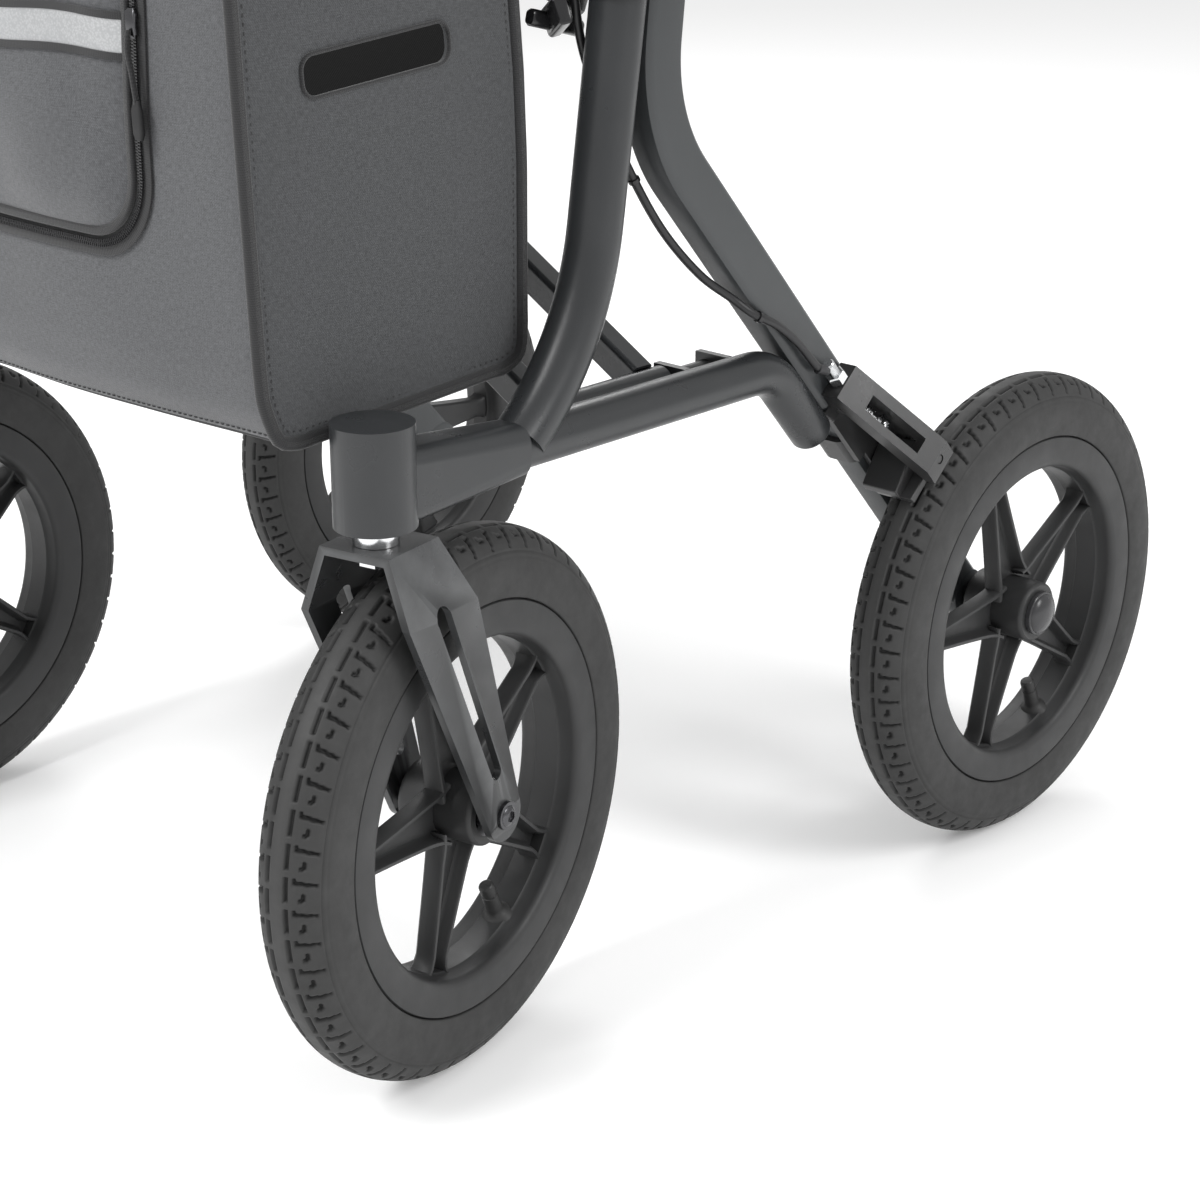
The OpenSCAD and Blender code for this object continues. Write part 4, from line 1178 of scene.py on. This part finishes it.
def coil_teeth(path, pitch=1.55):
    verts, faces = [], []
    acc = 0.0
    nxt = 0.0
    k = 0
    nrm = Vector((0, -1, 0))
    for a, b in zip(path, path[1:]):
        seg = (b - a).length
        t = (b - a).normalized()
        side = t.cross(nrm).normalized()
        while nxt <= acc + seg:
            c = a + t * (nxt - acc) + nrm * 1.3
            q = 1 if k % 2 else -1
            c = c + side * q * 0.9
            base = len(verts)
            L, W, H = 2.1, 0.62, 0.95
            for dl in (-1, 1):
                for dw, dh in ((-1, 0), (-0.8, 0.8), (0, 1.0), (0.8, 0.8), (1, 0)):
                    verts.append(c + side * dl * L * 0.5 + t * dw * W + nrm * dh * H)
            for j in range(4):
                faces.append((base + j, base + j + 1, base + 6 + j, base + 5 + j))
            faces.append(tuple(base + j for j in range(4, -1, -1)))
            faces.append(tuple(base + 5 + j for j in range(5)))
            nxt += pitch * 0.5
            k += 1
        acc += seg
    return mesh_obj("zip_coil", verts, faces, M["gloss_black"], sharp=35)


bag_parts.append(coil_teeth(zip_path))
# zip slider and its cord pull, parked at the top of the near run
pz = zip_path[10]
body_ = sweep("slider_body", [pz + Vector((0, -2.2, 7)), pz + Vector((0, -2.8, 5)), pz + Vector((0, -3.0, 0)), pz + Vector((0, -2.8, -5)), pz + Vector((0, -2.2, -7))], rrect(3.2, 8.4, 1.2, 3), M["dark_steel"], up=(0, -1, 0), scales=[0.6, 1, 0.85, 0.9, 0.5])
bag_parts.append(body_)
pull = catmull([pz + Vector((0, -5, -3)), pz + Vector((1, -7, -12)), pz + Vector((2, -6, -24)), pz + Vector((3, -5, -38))], 6)
bag_parts.append(sweep("slider_pull", pull, circle(1.5, 10), M["strap_web"], uv=True))
bag_parts.append(sweep("slider_tab", [pull[-1] + Vector((0, 0, 2)), pull[-1] + Vector((0, 0, -3)), pull[-1] + Vector((0.5, 0, -14)), pull[-1] + Vector((0.5, 0, -17))], rrect(3.4, 7, 1.4, 3), M["grip_rubber"], up=(0, -1, 0), scales=[0.6, 1, 1, 0.7]))

# top edge, bottom piping, front hem
top_line = []
for u in range(0, 47):
    p = front_fn(u / 46, 1)
    top_line.append(Vector((p[0], p[1] + 1, BTOP - 1 + 1.4 * math.sin(u * 0.35))))
top_line2 = [Vector((p[0], p[1] + 1, BTOP - 1)) for p in (side_pt(u / 20, 1, 1) for u in range(1, 20))]
back_top = [Vector((lambda q: (q[0], q[1] - 1, BTOP - 1))(back_fn(1 - u / 40, 1))) for u in range(0, 41)]
left_top = [Vector((-p[0], p[1] + 1, BTOP - 1)) for p in (side_pt(1 - u / 20, 1, -1) for u in range(1, 20))]
loop = top_line + top_line2 + back_top + left_top
bag_parts.append(sweep("top_binding", loop[::2], rrect(11.0, 5.0, 2.0, 4), M["binding"], up=(0, 0, 1), closed=True, uv=True))
piping = [Vector(front_fn(u / 60, 0)) + Vector((0, 1.0, 0.4)) for u in range(61)]
bag_parts.append(sweep("bottom_piping", piping, circle(2.1, 12), M["binding"], up=(0, 0, 1), uv=True))
bag_parts.append(stitches("front_hem", [Vector(front_fn(u / 60, 0.035)) + Vector((0, -0.3, 0)) for u in range(1, 60)], (0, -1, 0)))
for s in (1, -1):
    # webbing loops that hang the bag on the uprights
    for z in (588.0, 430.0):
        yb = interp(BACK, z)
        yc = up_y(z) if z > 470 else -131
        lp = [(s * 222, yb - 6, z), (s * 228, yb + 10, z), (s * 240, yc - 17, z), (s * 252, yc - 19.5, z), (s * 268, yc - 18, z), (s * 278.5, yc - 6, z), (s * 278.5, yc + 7, z), (s * 268, yc + 18, z), (s * 254, yc + 18.5, z), (s * 241.5, yc + 10, z), (s * 238, yc - 8, z), (s * 229, yb + 14, z), (s * 221, yb - 4, z)]
        if z > 580:
            bag_parts.append(sweep("hang_loop", catmull(lp, 4), rrect(20, 1.4, 0.5, 2), M["strap_web"], up=(0, 0, 1), uv=True))
bag = joined("bag_shell", bag_parts)
on(bag, "frame_left", ["shopping_bag"])
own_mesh(bag)

# ------------------------------------------------------------------ seat
SZ = 633.5


def puffed(name, w, l, h, cx, cy, cz, cap, mat, holdx=None):
    """A stuffed pad: remeshed block, swollen by cloth pressure, each point's travel capped."""
    bm = bmesh.new()
    bmesh.ops.create_cube(bm, size=1.0)
    me = bpy.data.meshes.new(name)
    bm.to_mesh(me)
    bm.free()
    for v in me.vertices:
        v.co = Vector((v.co.x * w * K + cx * K, v.co.y * l * K + cy * K, v.co.z * h * K + cz * K))
    o = link(bpy.data.objects.new(name, me))
    r = o.modifiers.new("r", "REMESH")
    r.mode = "VOXEL"
    r.voxel_size = 0.0045
    baked(o)
    rest = [v.co.copy() for v in o.data.vertices]
    c = o.modifiers.new("c", "CLOTH")
    c.settings.use_pressure = True
    c.settings.uniform_pressure_force = 4.0
    c.settings.effector_weights.gravity = 0.0
    c.settings.quality = 5
    sc = bpy.context.scene
    for f in range(1, 21):
        sc.frame_set(f)
    dg = bpy.context.evaluated_depsgraph_get()
    ev = o.evaluated_get(dg)
    new = [v.co.copy() for v in ev.data.vertices]
    o.modifiers.clear()
    sc.frame_set(1)
    for v, a, b in zip(o.data.vertices, rest, new):
        d = b - a
        if d.length > cap * K:
            d = d * (cap * K / d.length)
        v.co = a + d
    o.data.materials.append(mat)
    for p in o.data.polygons:
        p.use_smooth = True
    return o


def planar_uv(o):
    me = o.data
    uvl = me.uv_layers.new(name="UVMap") if not me.uv_layers else me.uv_layers[0]
    for p in me.polygons:
        for li in p.loop_indices:
            co = me.vertices[me.loops[li].vertex_index].co
            n = p.normal
            if abs(n.z) >= max(abs(n.x), abs(n.y)) * 0.6:
                uvl.data[li].uv = (co.x, co.y)
            elif abs(n.x) > abs(n.y):
                uvl.data[li].uv = (co.y, co.z)
            else:
                uvl.data[li].uv = (co.x, co.z)


seat = puffed("seat_pad", 462, 218, 7.0, 0, -36, SZ, 4.5, M["seat_fabric"])


def crease(d, w, depth):
    return depth * math.exp(-(d / w) ** 2)


for v in seat.data.vertices:
    x, y, z = v.co / K
    up = 1 if z > SZ else 0
    d = 0.0
    for xc in (-148, -74, 0, 74, 148):
        d += crease(abs(x - xc + 1.2 * math.sin(y * 0.05)), 3.6, 2.4)
    ed = min(231 - abs(x), 109 - abs(y + 36))
    d += crease(abs(ed - 15), 3.2, 2.0)
    z += (-d if up else d * 0.5)
    sag = 4.0 * (1 - min(1, abs(x) / 216) ** 2.2)
    drop = 6.0 * max(0.0, (abs(x) - 214) / 20) ** 2
    wr = 0.9 * noise.noise(Vector((x * 0.02, y * 0.02, 1.0))) + 0.35 * noise.noise(Vector((x * 0.07, y * 0.06, 3.0)))
    v.co = Vector((x, y, z - sag - drop + wr + 3.2)) * K
sm = seat.modifiers.new("sm", "SMOOTH")
sm.iterations = 1
sm.factor = 0.4
sb = seat.modifiers.new("sb", "SUBSURF")
sb.levels = 1
sb.render_levels = 1
baked(seat)
planar_uv(seat)
for p in seat.data.polygons:
    p.use_smooth = True
seat_bits = []


def seat_edge(x, y):
    sag = 4.0 * (1 - min(1, abs(x) / 216) ** 2.2)
    drop = 6.0 * max(0.0, (abs(x) - 214) / 20) ** 2
    return SZ - sag - drop + 3.2


pp = []
for x0, y0, x1, y1, n in ((-222, -145.5, 222, -145.5, 50), (231.5, -136, 231.5, 64, 20), (222, 73.5, -222, 73.5, 50), (-231.5, 64, -231.5, -136, 20)):
    for i in range(n + 1):
        x, y = x0 + (x1 - x0) * i / n, y0 + (y1 - y0) * i / n
        pp.append(Vector((x, y, seat_edge(x, y))))
seat_bits.append(sweep("seat_piping", pp[::2], circle(2.6, 12), M["strap_web"], up=(0, 0, 1), closed=True, uv=True))
for x in (-148, -74, 0, 74, 148):
    seat_bits.append(stitches("seat_stitch", [Vector((x - 1.2 * math.sin(y * 0.05), y, seat_edge(x, y) + 3.9)) for y in range(-140, 70, 3)], (0, 0, 1), mat=M["strap_web"]))
# pull strap in the middle, used to fold the seat up
ps = catmull([(0, -92, seat_edge(0, -90) + 4.6), (0, -84, seat_edge(0, -84) + 6.5), (0, -62, seat_edge(0, -60) + 17), (0, -36, seat_edge(0, -36) + 21), (0, -10, seat_edge(0, -10) + 17), (0, 12, seat_edge(0, 12) + 6.5), (0, 20, seat_edge(0, 20) + 4.6)], 7)
seat_bits.append(sweep("seat_pull", ps, rrect(25, 1.8, 0.7, 2), M["strap_web"], uv=True))
for y in (-89, 17):
    for dx in (-9, 9):
        seat_bits.append(stitches("pull_stitch", [Vector((dx, y - 6, seat_edge(0, y) + 6.4)), Vector((dx, y + 6, seat_edge(0, y) + 6.4))], (0, 0, 1), pitch=2.6, length=1.8, mat=M["binding"]))
# sleeves of the seat round the rails behind the brace
for s in (1, -1):
    for y0, y1 in ((-46, 76),):
        arc = [(s * 225 + 12.6 * math.cos(rad(a)), 618.16 + 12.6 * math.sin(rad(a))) for a in range(70, 70 + 300, 12)]
        verts, faces, uvs = [], [], []
        ny = 16
        for i in range(ny + 1):
            y = y0 + (y1 - y0) * i / ny
            for k, (x, z) in enumerate(arc):
                w = 0.4 * math.sin(y * 0.3 + k)
                verts.append((x + w * 0.3, y, z + w * 0.3))
                uvs.append((y * K, k * 2.6 * K))
        m_ = len(arc)
        for i in range(ny):
            for k in range(m_ - 1):
                faces.append((i * m_ + k, i * m_ + k + 1, (i + 1) * m_ + k + 1, (i + 1) * m_ + k))
        sleeve = mesh_obj("rail_sleeve", verts, faces, M["seat_fabric"], sharp=60, uvs=uvs)
        on(sleeve, "rail_left" if s > 0 else "rail_right")
on(seat, "rail_left", ["seat_sling"])
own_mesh(seat)
trim = joined("seat_trim", seat_bits)
on(trim, "rail_left")
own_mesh(trim)

# ------------------------------------------------------------------ back strap
AX, AY, AR = 0.0, 126.8, 324.8


def arc_world(a, r, z):
    t = rad(a)
    return (AX + r * math.sin(t), AY - r * math.cos(t), z)


strap_bm = []
sv, sf, su = [], [], []
NA, NS = 150, 28
SPAN = 46.6
for i in range(NA + 1):
    a = -SPAN + 2 * SPAN * i / NA
    e = min(1.0, (SPAN - abs(a)) / 3.0)
    fat = 3.4 + 4.6 * math.sin(math.pi * e / 2) * (1.0 if abs(a) < 37 else max(0.25, 1 - (abs(a) - 37) / 9.0))
    half_h = 25.5 - 2.5 * (1 - e)
    for k in range(NS):
        q = 2 * math.pi * k / NS
        cz = math.copysign(abs(math.cos(q)) ** 0.75, math.cos(q)) * half_h
        cr_ = math.copysign(abs(math.sin(q)) ** 0.75, math.sin(q)) * fat * 0.5
        z = 728 + cz
        groove = 0.0
        for zc in (711.5, 744.5):
            groove += 0.9 * math.exp(-((z - zc) / 2.2) ** 2)
        groove += 0.7 * math.exp(-(((abs(a) - 37) * 5.6) / 3.0) ** 2)
        lump = 0.5 * noise.noise(Vector((a * 0.12, z * 0.05, 2.0)))
        if abs(cr_) > 0.4:
            cr_ = math.copysign(max(0.3, abs(cr_) - groove + lump * 0.6), cr_)
        sv.append(arc_world(a, AR + cr_, z))
        su.append((a * 5.67 * K, (z + (60 if cr_ > 0 else 0)) * K))
for i in range(NA):
    for k in range(NS):
        sf.append((i * NS + k, i * NS + (k + 1) % NS, (i + 1) * NS + (k + 1) % NS, (i + 1) * NS + k))
sf.append(tuple(range(NS - 1, -1, -1)))
sf.append(tuple(NA * NS + k for k in range(NS)))
strap = mesh_obj("back_pad", sv, sf, M["seat_fabric"], sharp=None, uvs=su)
bmx = bmesh.new()
bmx.from_mesh(strap.data)
bmesh.ops.recalc_face_normals(bmx, faces=bmx.faces)
bmx.to_mesh(strap.data)
bmx.free()
on(strap, "frame_left", ["back_strap"])
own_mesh(strap)
bits = []
for zc in (711.5, 744.5):
    bits.append(stitches("pad_stitch", [Vector(arc_world(a * 0.5, AR + 3.5, zc)) for a in range(-74, 75)], (0, -1, 0), mat=M["strap_web"]))
for q in (1, -1):
    # webbing end of the strap, towards the upright, with a stitched box
    lp = [arc_world(q * 36.0, AR - 3.9, 728), arc_world(q * 41.0, AR - 3.6, 728), arc_world(q * 45.2, AR - 3.3, 728), arc_world(q * 47.0, AR - 2.0, 728)]
    bits.append(sweep("strap_end", catmull(lp, 5), rrect(38, 1.5, 0.6, 2), M["strap_web"], up=(0, 0, 1), uv=True))
    for z0, z1 in ((712, 744), (744, 712)):
        bits.append(stitches("box_stitch", [Vector(arc_world(q * (37.2 + 4.4 * t / 10), AR - 4.8, z0 + (z1 - z0) * t / 10)) for t in range(11)], (0, 1, 0), pitch=3.2, length=2.2, mat=M["binding"]))
trim2 = joined("back_pad_trim", bits)
on(trim2, "frame_left")
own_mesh(trim2)

# ------------------------------------------------------------------ brakes


def brake_place(o, s):
    """From the brake's own millimetre frame to its place on one side."""
    o.data.transform(T(0, 100.3, 300) @ Matrix.Rotation(rad(-48), 4, "X"))
    if s < 0:
        m = mirrored(o, o.name + "_m")
        d = o.data
        bpy.data.objects.remove(o)
        bpy.data.meshes.remove(d)
        return m
    return o


def helix(a, b, r, turns, n=14):
    a, b = Vector(a), Vector(b)
    t = (b - a).normalized()
    u = t.orthogonal().normalized()
    w = t.cross(u)
    out = []
    for i in range(turns * n + 1):
        f = i / (turns * n)
        q = 2 * math.pi * i / n
        out.append(a + (b - a) * f + u * r * math.cos(q) + w * r * math.sin(q))
    return out


for side, s in SIDES:
    soften(f"brake_housing_{side}", M["black_metal"], 1.1, segs=2)
    soften(f"brake_arm_{side}", M["black_metal"], 0.8)
    bits = []
    # adjuster: threaded barrel with its lock nut, and the ferrule on the jacket
    prof = [(-63, 0.2), (-63, 2.9), (-62.2, 3.6)]
    x = -62.2
    while x < -30.5:
        prof += [(x + 0.25, 3.55), (x + 0.55, 3.05), (x + 0.8, 3.55)]
        x += 0.85
    prof += [(-29.6, 3.0), (-29.2, 0.2)]
    b = lathe("barrel", prof, M["bright_steel"], n=30, origin=(271.1, 0, 2), axis="Y", sharp=25)
    bits.append(b)
    for y0, h, r in ((-53, 6.6, 6.2), (-44.6, 3.6, 5.9)):
        hx = lathe("hexnut", [(0, 3.4), (0, r * 0.88), (0.7, r), (h - 0.7, r), (h, r * 0.88), (h, 3.4)], M["bright_steel"], n=6, origin=(271.1, y0, 2), axis="Y", sharp=20)
        bits.append(hx)
    kn = []
    for i in range(36):
        a = 2 * math.pi * i / 36
        kn.append((a, 5.1 if i % 2 else 5.6))
    vs, fs = [], []
    for y in (-40.4, -33.5):
        for a, r in kn:
            vs.append((271.1 + r * math.cos(a), y, 2 + r * math.sin(a)))
    fs = [(i, (i + 1) % 36, 36 + (i + 1) % 36, 36 + i) for i in range(36)] + [tuple(range(35, -1, -1)), tuple(range(36, 72))]
    bits.append(mesh_obj("knurl", vs, fs, M["bright_steel"], smooth=False))
    # inner wire from the adjuster to the clamp screw, the return spring round it, the screw
    u = Vector((math.sin(rad(29.3)), math.cos(rad(29.3)), 0))
    o0 = Vector((272, -28, 2))
    bits.append(sweep("wire", [o0 + u * q for q in (-2, 4, 12, 20, 30)], circle(0.85, 10), M["bright_steel"]))
    bits.append(sweep("spring", helix(o0 + u * 1.0, o0 + u * 17, 2.95, 8), circle(0.5, 8), M["bright_steel"]))
    c = o0 + u * 26
    bits.append(lathe("clamp_screw", [(-5, 0.2), (-5, 3.4), (2.4, 3.4), (3.6, 3.0), (4.0, 2.2), (4.0, 1.5), (2.6, 1.4), (2.5, 0.2)], M["bright_steel"], n=24, origin=tuple(c), sharp=28))
    bits.append(lathe("clamp_washer", [(-1.0, 2.5), (-1.0, 5.4), (-0.2, 5.6), (0.2, 5.4), (0.2, 2.5)], M["bright_steel"], n=32, origin=tuple(c), sharp=28))
    for i, q in enumerate(bits):
        bits[i] = brake_place(q, s)
    fit = joined(f"cable_hardware_{side}", bits)
    on(fit, BODY[f"brake_fittings_{side}"], [f"brake_fittings_{side}"])
    # screws of the casting
    ex = []
    for y, z, r in ((6, 14.2, 3.4), (-36, 14.2, 3.0)):
        b = lathe("cap_screw", [(-0.6, 0.1), (-0.6, 1.9), (1.6, 1.9), (1.8, 2.3), (1.8, r - 0.5), (1.3, r), (0, r)], M["dark_steel"], n=28, origin=(0, 0, 0), axis="Z", sharp=28)
        placed(b, T(272.8, y, z))
        ex.append(b)
    ex = joined(f"brake_screws_{side}", [brake_place(q, s) for q in ex])
    on(ex, BODY[f"brake_housing_{side}"])

# ------------------------------------------------------------------ cables
CP = [(270, -27, 881), (274, -52, 881), (277, -86, 868), (277, -118, 828), (275, -136, 776), (270, -144, 720), (262, -147, 672), (250, -142, 625), (243, -129, 580), (241, -119, 546), (244, -105, 512), (247, -92, 484),
      (250, -67, 446), (253, -38, 416), (259, -16, 399), (266, -5, 389), (268.5, 14, 379), (269.5, 34, 364), (270.6, 50, 348), (271.1, 58.8, 343.6)]
fine = catmull(CP, 8)
cut_i = 7 * 8
for side, s in SIDES:
    run = [Vector((p.x * s, p.y, p.z)) for p in fine]
    cable = sweep(f"cable_jacket_{side}", run, circle(2.5, 18), M["cable_jacket"], up=(1, 0, 0), uv=True)
    low = run[cut_i:]
    tip, d = low[-1], (low[-1] - low[-3]).normalized()
    bits = [sweep("ferrule", [tip - d * 9, tip - d * 8.6, tip - d * 0.6, tip + d * 0.3], circle(3.1, 24), M["black_plastic"], scales=[0.86, 1, 1, 0.9])]
    for i in (34, 66):
        p, q = low[i], (low[i + 1] - low[i - 1]).normalized()
        bits.append(sweep("tie", [p - q * 1.4, p - q * 1.2, p + q * 1.2, p + q * 1.4], circle(3.4, 20), M["gloss_black"], scales=[0.9, 1, 1, 0.9]))
    bits = joined(f"cable_ties_{side}", bits)
    on(bits, f"frame_{side}")
    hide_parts(f"brake_cable_{side}")
    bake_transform(cable)

# ------------------------------------------------------------------ handles
HY, HZ = -68.785, 868.313
GO = Vector((260, -28.213, 906.413))
GZ = Vector((0, math.sin(rad(85)), math.cos(rad(85))))
GYD = Vector((0, math.cos(rad(85)), -math.sin(rad(85))))


def grip_at(side_s):
    """Grip frame: local +Z runs back along the grip, +Y hangs down."""
    m = T(260, GO.y, GO.z) @ Matrix.Rotation(rad(-85), 4, "X")
    return m


def grip_place(o, s):
    o.data.transform(grip_at(1))
    if s < 0:
        m = mirrored(o, o.name + "_m")
        bpy.data.objects.remove(o)
        return m
    return o


def grip_mesh():
    """Palm grip: shallow finger ribs below and a soft end flange."""
    nz, na = 220, 72
    vs, fs = [], []
    for j in range(nz + 1):
        z = 22 + 124 * j / nz
        base = 15.1
        if z < 26.2:
            base = 17.3 - 0.5 * max(0, (z - 25) / 1.2) - 0.9 * max(0, (22.9 - z) / 0.9)
        elif z < 29:
            base = 17.3 - 2.6 * math.sin((z - 26.2) / 2.8 * math.pi / 2)
        elif z > 141:
            e = (z - 141) / 5
            base = 14.9 + 1.4 * math.sin(min(1, e * 4) * math.pi / 2) - 2.6 * max(0, e - 0.6) ** 1.5
        for i in range(na):
            a = 2 * math.pi * i / na
            r = base
            if 30 < z < 139:
                f = math.sin(math.pi * (z - 30) / 109) ** 0.5
                rib = 0.0
                zz = (z - 33) / 5.2
                if -0.05 < math.cos(a):  # lower half
                    rib = 0.35 * max(0.0, math.sin(2 * math.pi * zz)) * min(1, (math.cos(a) + 0.05) * 3)
                dz, da = (z - 84), 0
                tex = 0.16 * (math.sin(a * 24) * math.sin(z * 1.9))
                r = base + (rib - 0.12 + tex * 0.6) * f
            vs.append((r * math.sin(a), r * math.cos(a), z))
    for j in range(nz):
        for i in range(na):
            k = (i + 1) % na
            fs.append((j * na + i, j * na + k, (j + 1) * na + k, (j + 1) * na + i))
    fs.append(tuple(nz * na + i for i in range(na)))
    n0 = len(vs)
    for i in range(na):
        a = 2 * math.pi * i / na
        vs.append((12.6 * math.sin(a), 12.6 * math.cos(a), 22.0))
    for i in range(na):
        k = (i + 1) % na
        fs.append((n0 + i, n0 + k, k, i))
    o = mesh_obj("grip", vs, fs, M["grip_rubber"], sharp=45)
    bm = bmesh.new()
    bm.from_mesh(o.data)
    bmesh.ops.recalc_face_normals(bm, faces=bm.faces)
    bm.to_mesh(o.data)
    bm.free()
    o.data.set_sharp_from_angle(angle=rad(45))
    return o


top_y = up_y(720)
for side, s in SIDES:
    # tube: straight inside the upright, the bend, the grip run
    pts = [(s * 260, top_y - 124 * US, 720 - 124 * UC)]
    for q in range(-100, 151, 25):
        pts.append((s * 260, top_y + q * US, 720 + q * UC))
    cy, cz = HY + 45 * UC, HZ - 45 * US
    a0, a1 = 180 - LEAN, 95.0
    for i in range(1, 33):
        a = rad(a0 + (a1 - a0) * i / 32)
        pts.append((s * 260, cy + 45 * math.cos(a), cz + 45 * math.sin(a)))
    for q in (10, 40, 80, 139):
        pts.append((s * 260, GO.y + GZ.y * q, GO.z + GZ.z * q))
    sec = circle(12.5, 48)
    tube = sweep(f"handle_bent_{side}", pts, sec, M["handle_paint"], up=(1, 0, 0))
    # height holes up the outer face, each a dark metal pit, painted shade for the hollow of the hole, with a light lip
    holes = []
    for q in range(-60, 61, 24):
        c = Vector((s * 272.2, top_y + q * US, 720 + q * UC))
        if q > 30:
            b = lathe("pit", [(-1.2, 0.1), (-1.0, 2.9), (0.2, 3.0), (0.42, 3.4), (0.3, 3.9), (-0.6, 4.2)], M["dark_steel"], n=28, sharp=30)
            placed(b, Matrix.Translation(c * K) @ (Matrix.Identity(4) if s > 0 else Matrix.Rotation(math.pi, 4, "Z")))
            holes.append(b)
    tube = joined(f"handle_bent_{side}", [tube] + holes)
    on(tube, BODY[f"handle_tube_{side}"], [f"handle_tube_{side}"])
    g = grip_place(grip_mesh(), s)
    on(g, BODY[f"hand_grip_{side}"], [f"hand_grip_{side}"])
    soften(f"lever_mount_{side}", M["black_plastic"], 1.0, segs=2)
    soften(f"brake_lever_{side}", M["handle_paint"], 1.5, segs=3)
    soften(f"height_knob_{side}", M["black_plastic"], 1.4, segs=3)
    # grub screw in the knob's face and the split screw of the lever mount
    k_ = lathe("knob_cap", [(0, 0.1), (0.25, 7.0), (0.0, 7.6), (-0.5, 8.0), (-0.8, 8.1)], M["cap_plastic"], n=48, sharp=30)
    placed(k_, T(s * 298.05, up_y(698), 698) @ (Matrix.Identity(4) if s > 0 else Matrix.Rotation(math.pi, 4, "Z")))
    on(k_, BODY[f"height_knob_{side}"])
    sc = []
    for x in (-12.1, 12.1):
        b = lathe("pin_head", [(0, 0.1), (0.8, 0.1), (0.9, 1.6), (1.0, 2.4), (0.6, 2.9), (0, 3.0)], M["bright_steel"], n=28, sharp=30)
        placed(b, T(x - (0.2 if x > 0 else -0.2), 27, 11) @ (Matrix.Identity(4) if x > 0 else Matrix.Rotation(math.pi, 4, "Z")))
        sc.append(grip_place(b, s))
    sc = joined(f"lever_pin_heads_{side}", sc)
    on(sc, BODY[f"brake_lever_{side}"])

# ------------------------------------------------------------------ whatever is left of the CAD gets its finish
LEFT = {"head_lug": "frame_paint", "fork": "fork_paint", "caster_stem": "bright_steel", "front_axle": "bright_steel", "rear_axle": "bright_steel", "front_rim": "rim_plastic", "rear_rim": "rim_plastic", "front_tyre": "tyre_rubber",
        "rear_tyre": "tyre_rubber", "front_inner_tube": "inner_rubber", "rear_inner_tube": "inner_rubber", "hub_cap": "cap_plastic"}
for n_, o_ in CAD.items():
    key = n_.replace("_left", "").replace("_right", "")
    o_.data.materials.clear()
    o_.data.materials.append(M[LEFT.get(key, "black_metal")])

# ------------------------------------------------------------------ plain floor, soft studio light
fm = bpy.data.materials.new("floor")
fm.use_nodes = True
fb = fm.node_tree.nodes["Principled BSDF"]
fb.inputs["Base Color"].default_value = (0.94, 0.94, 0.94, 1)
fb.inputs["Roughness"].default_value = 0.9
fb.inputs["Specular IOR Level"].default_value = 0.0
fb.inputs["Emission Color"].default_value = (1, 1, 1, 1)
fb.inputs["Emission Strength"].default_value = 0.12
fl = mesh_obj("floor", [(-9000, -9000, 0), (9000, -9000, 0), (9000, 9000, 0), (-9000, 9000, 0)], [(0, 1, 2, 3)], fm, smooth=False)
w = bpy.context.scene.world or bpy.data.worlds.new("world")
bpy.context.scene.world = w
w.use_nodes = True
bg = w.node_tree.nodes.get("Background")
bg.inputs["Color"].default_value = (1, 1, 1, 1)
bg.inputs["Strength"].default_value = 0.72


def softbox(name, loc, target, size, power):
    d = bpy.data.lights.new(name, "AREA")
    d.shape = "RECTANGLE"
    d.size, d.size_y = size
    d.energy = power
    o = link(bpy.data.objects.new(name, d))
    o.location = loc
    o.rotation_euler = (Vector(target) - Vector(loc)).to_track_quat("-Z", "Y").to_euler()
    return o


lights = [softbox("key", (-0.2, -2.3, 2.5), (0.1, 0, 0.4), (1.0, 1.3), 60), softbox("side", (2.6, 0.5, 2.1), (0.2, 0, 0.4), (0.9, 1.6), 46), softbox("rim", (-1.9, 1.8, 2.3), (0, 0, 0.5), (1.2, 1.2), 28)]
bpy.context.scene.view_settings.view_transform = "Standard"
bpy.context.scene.view_settings.exposure = 0.0
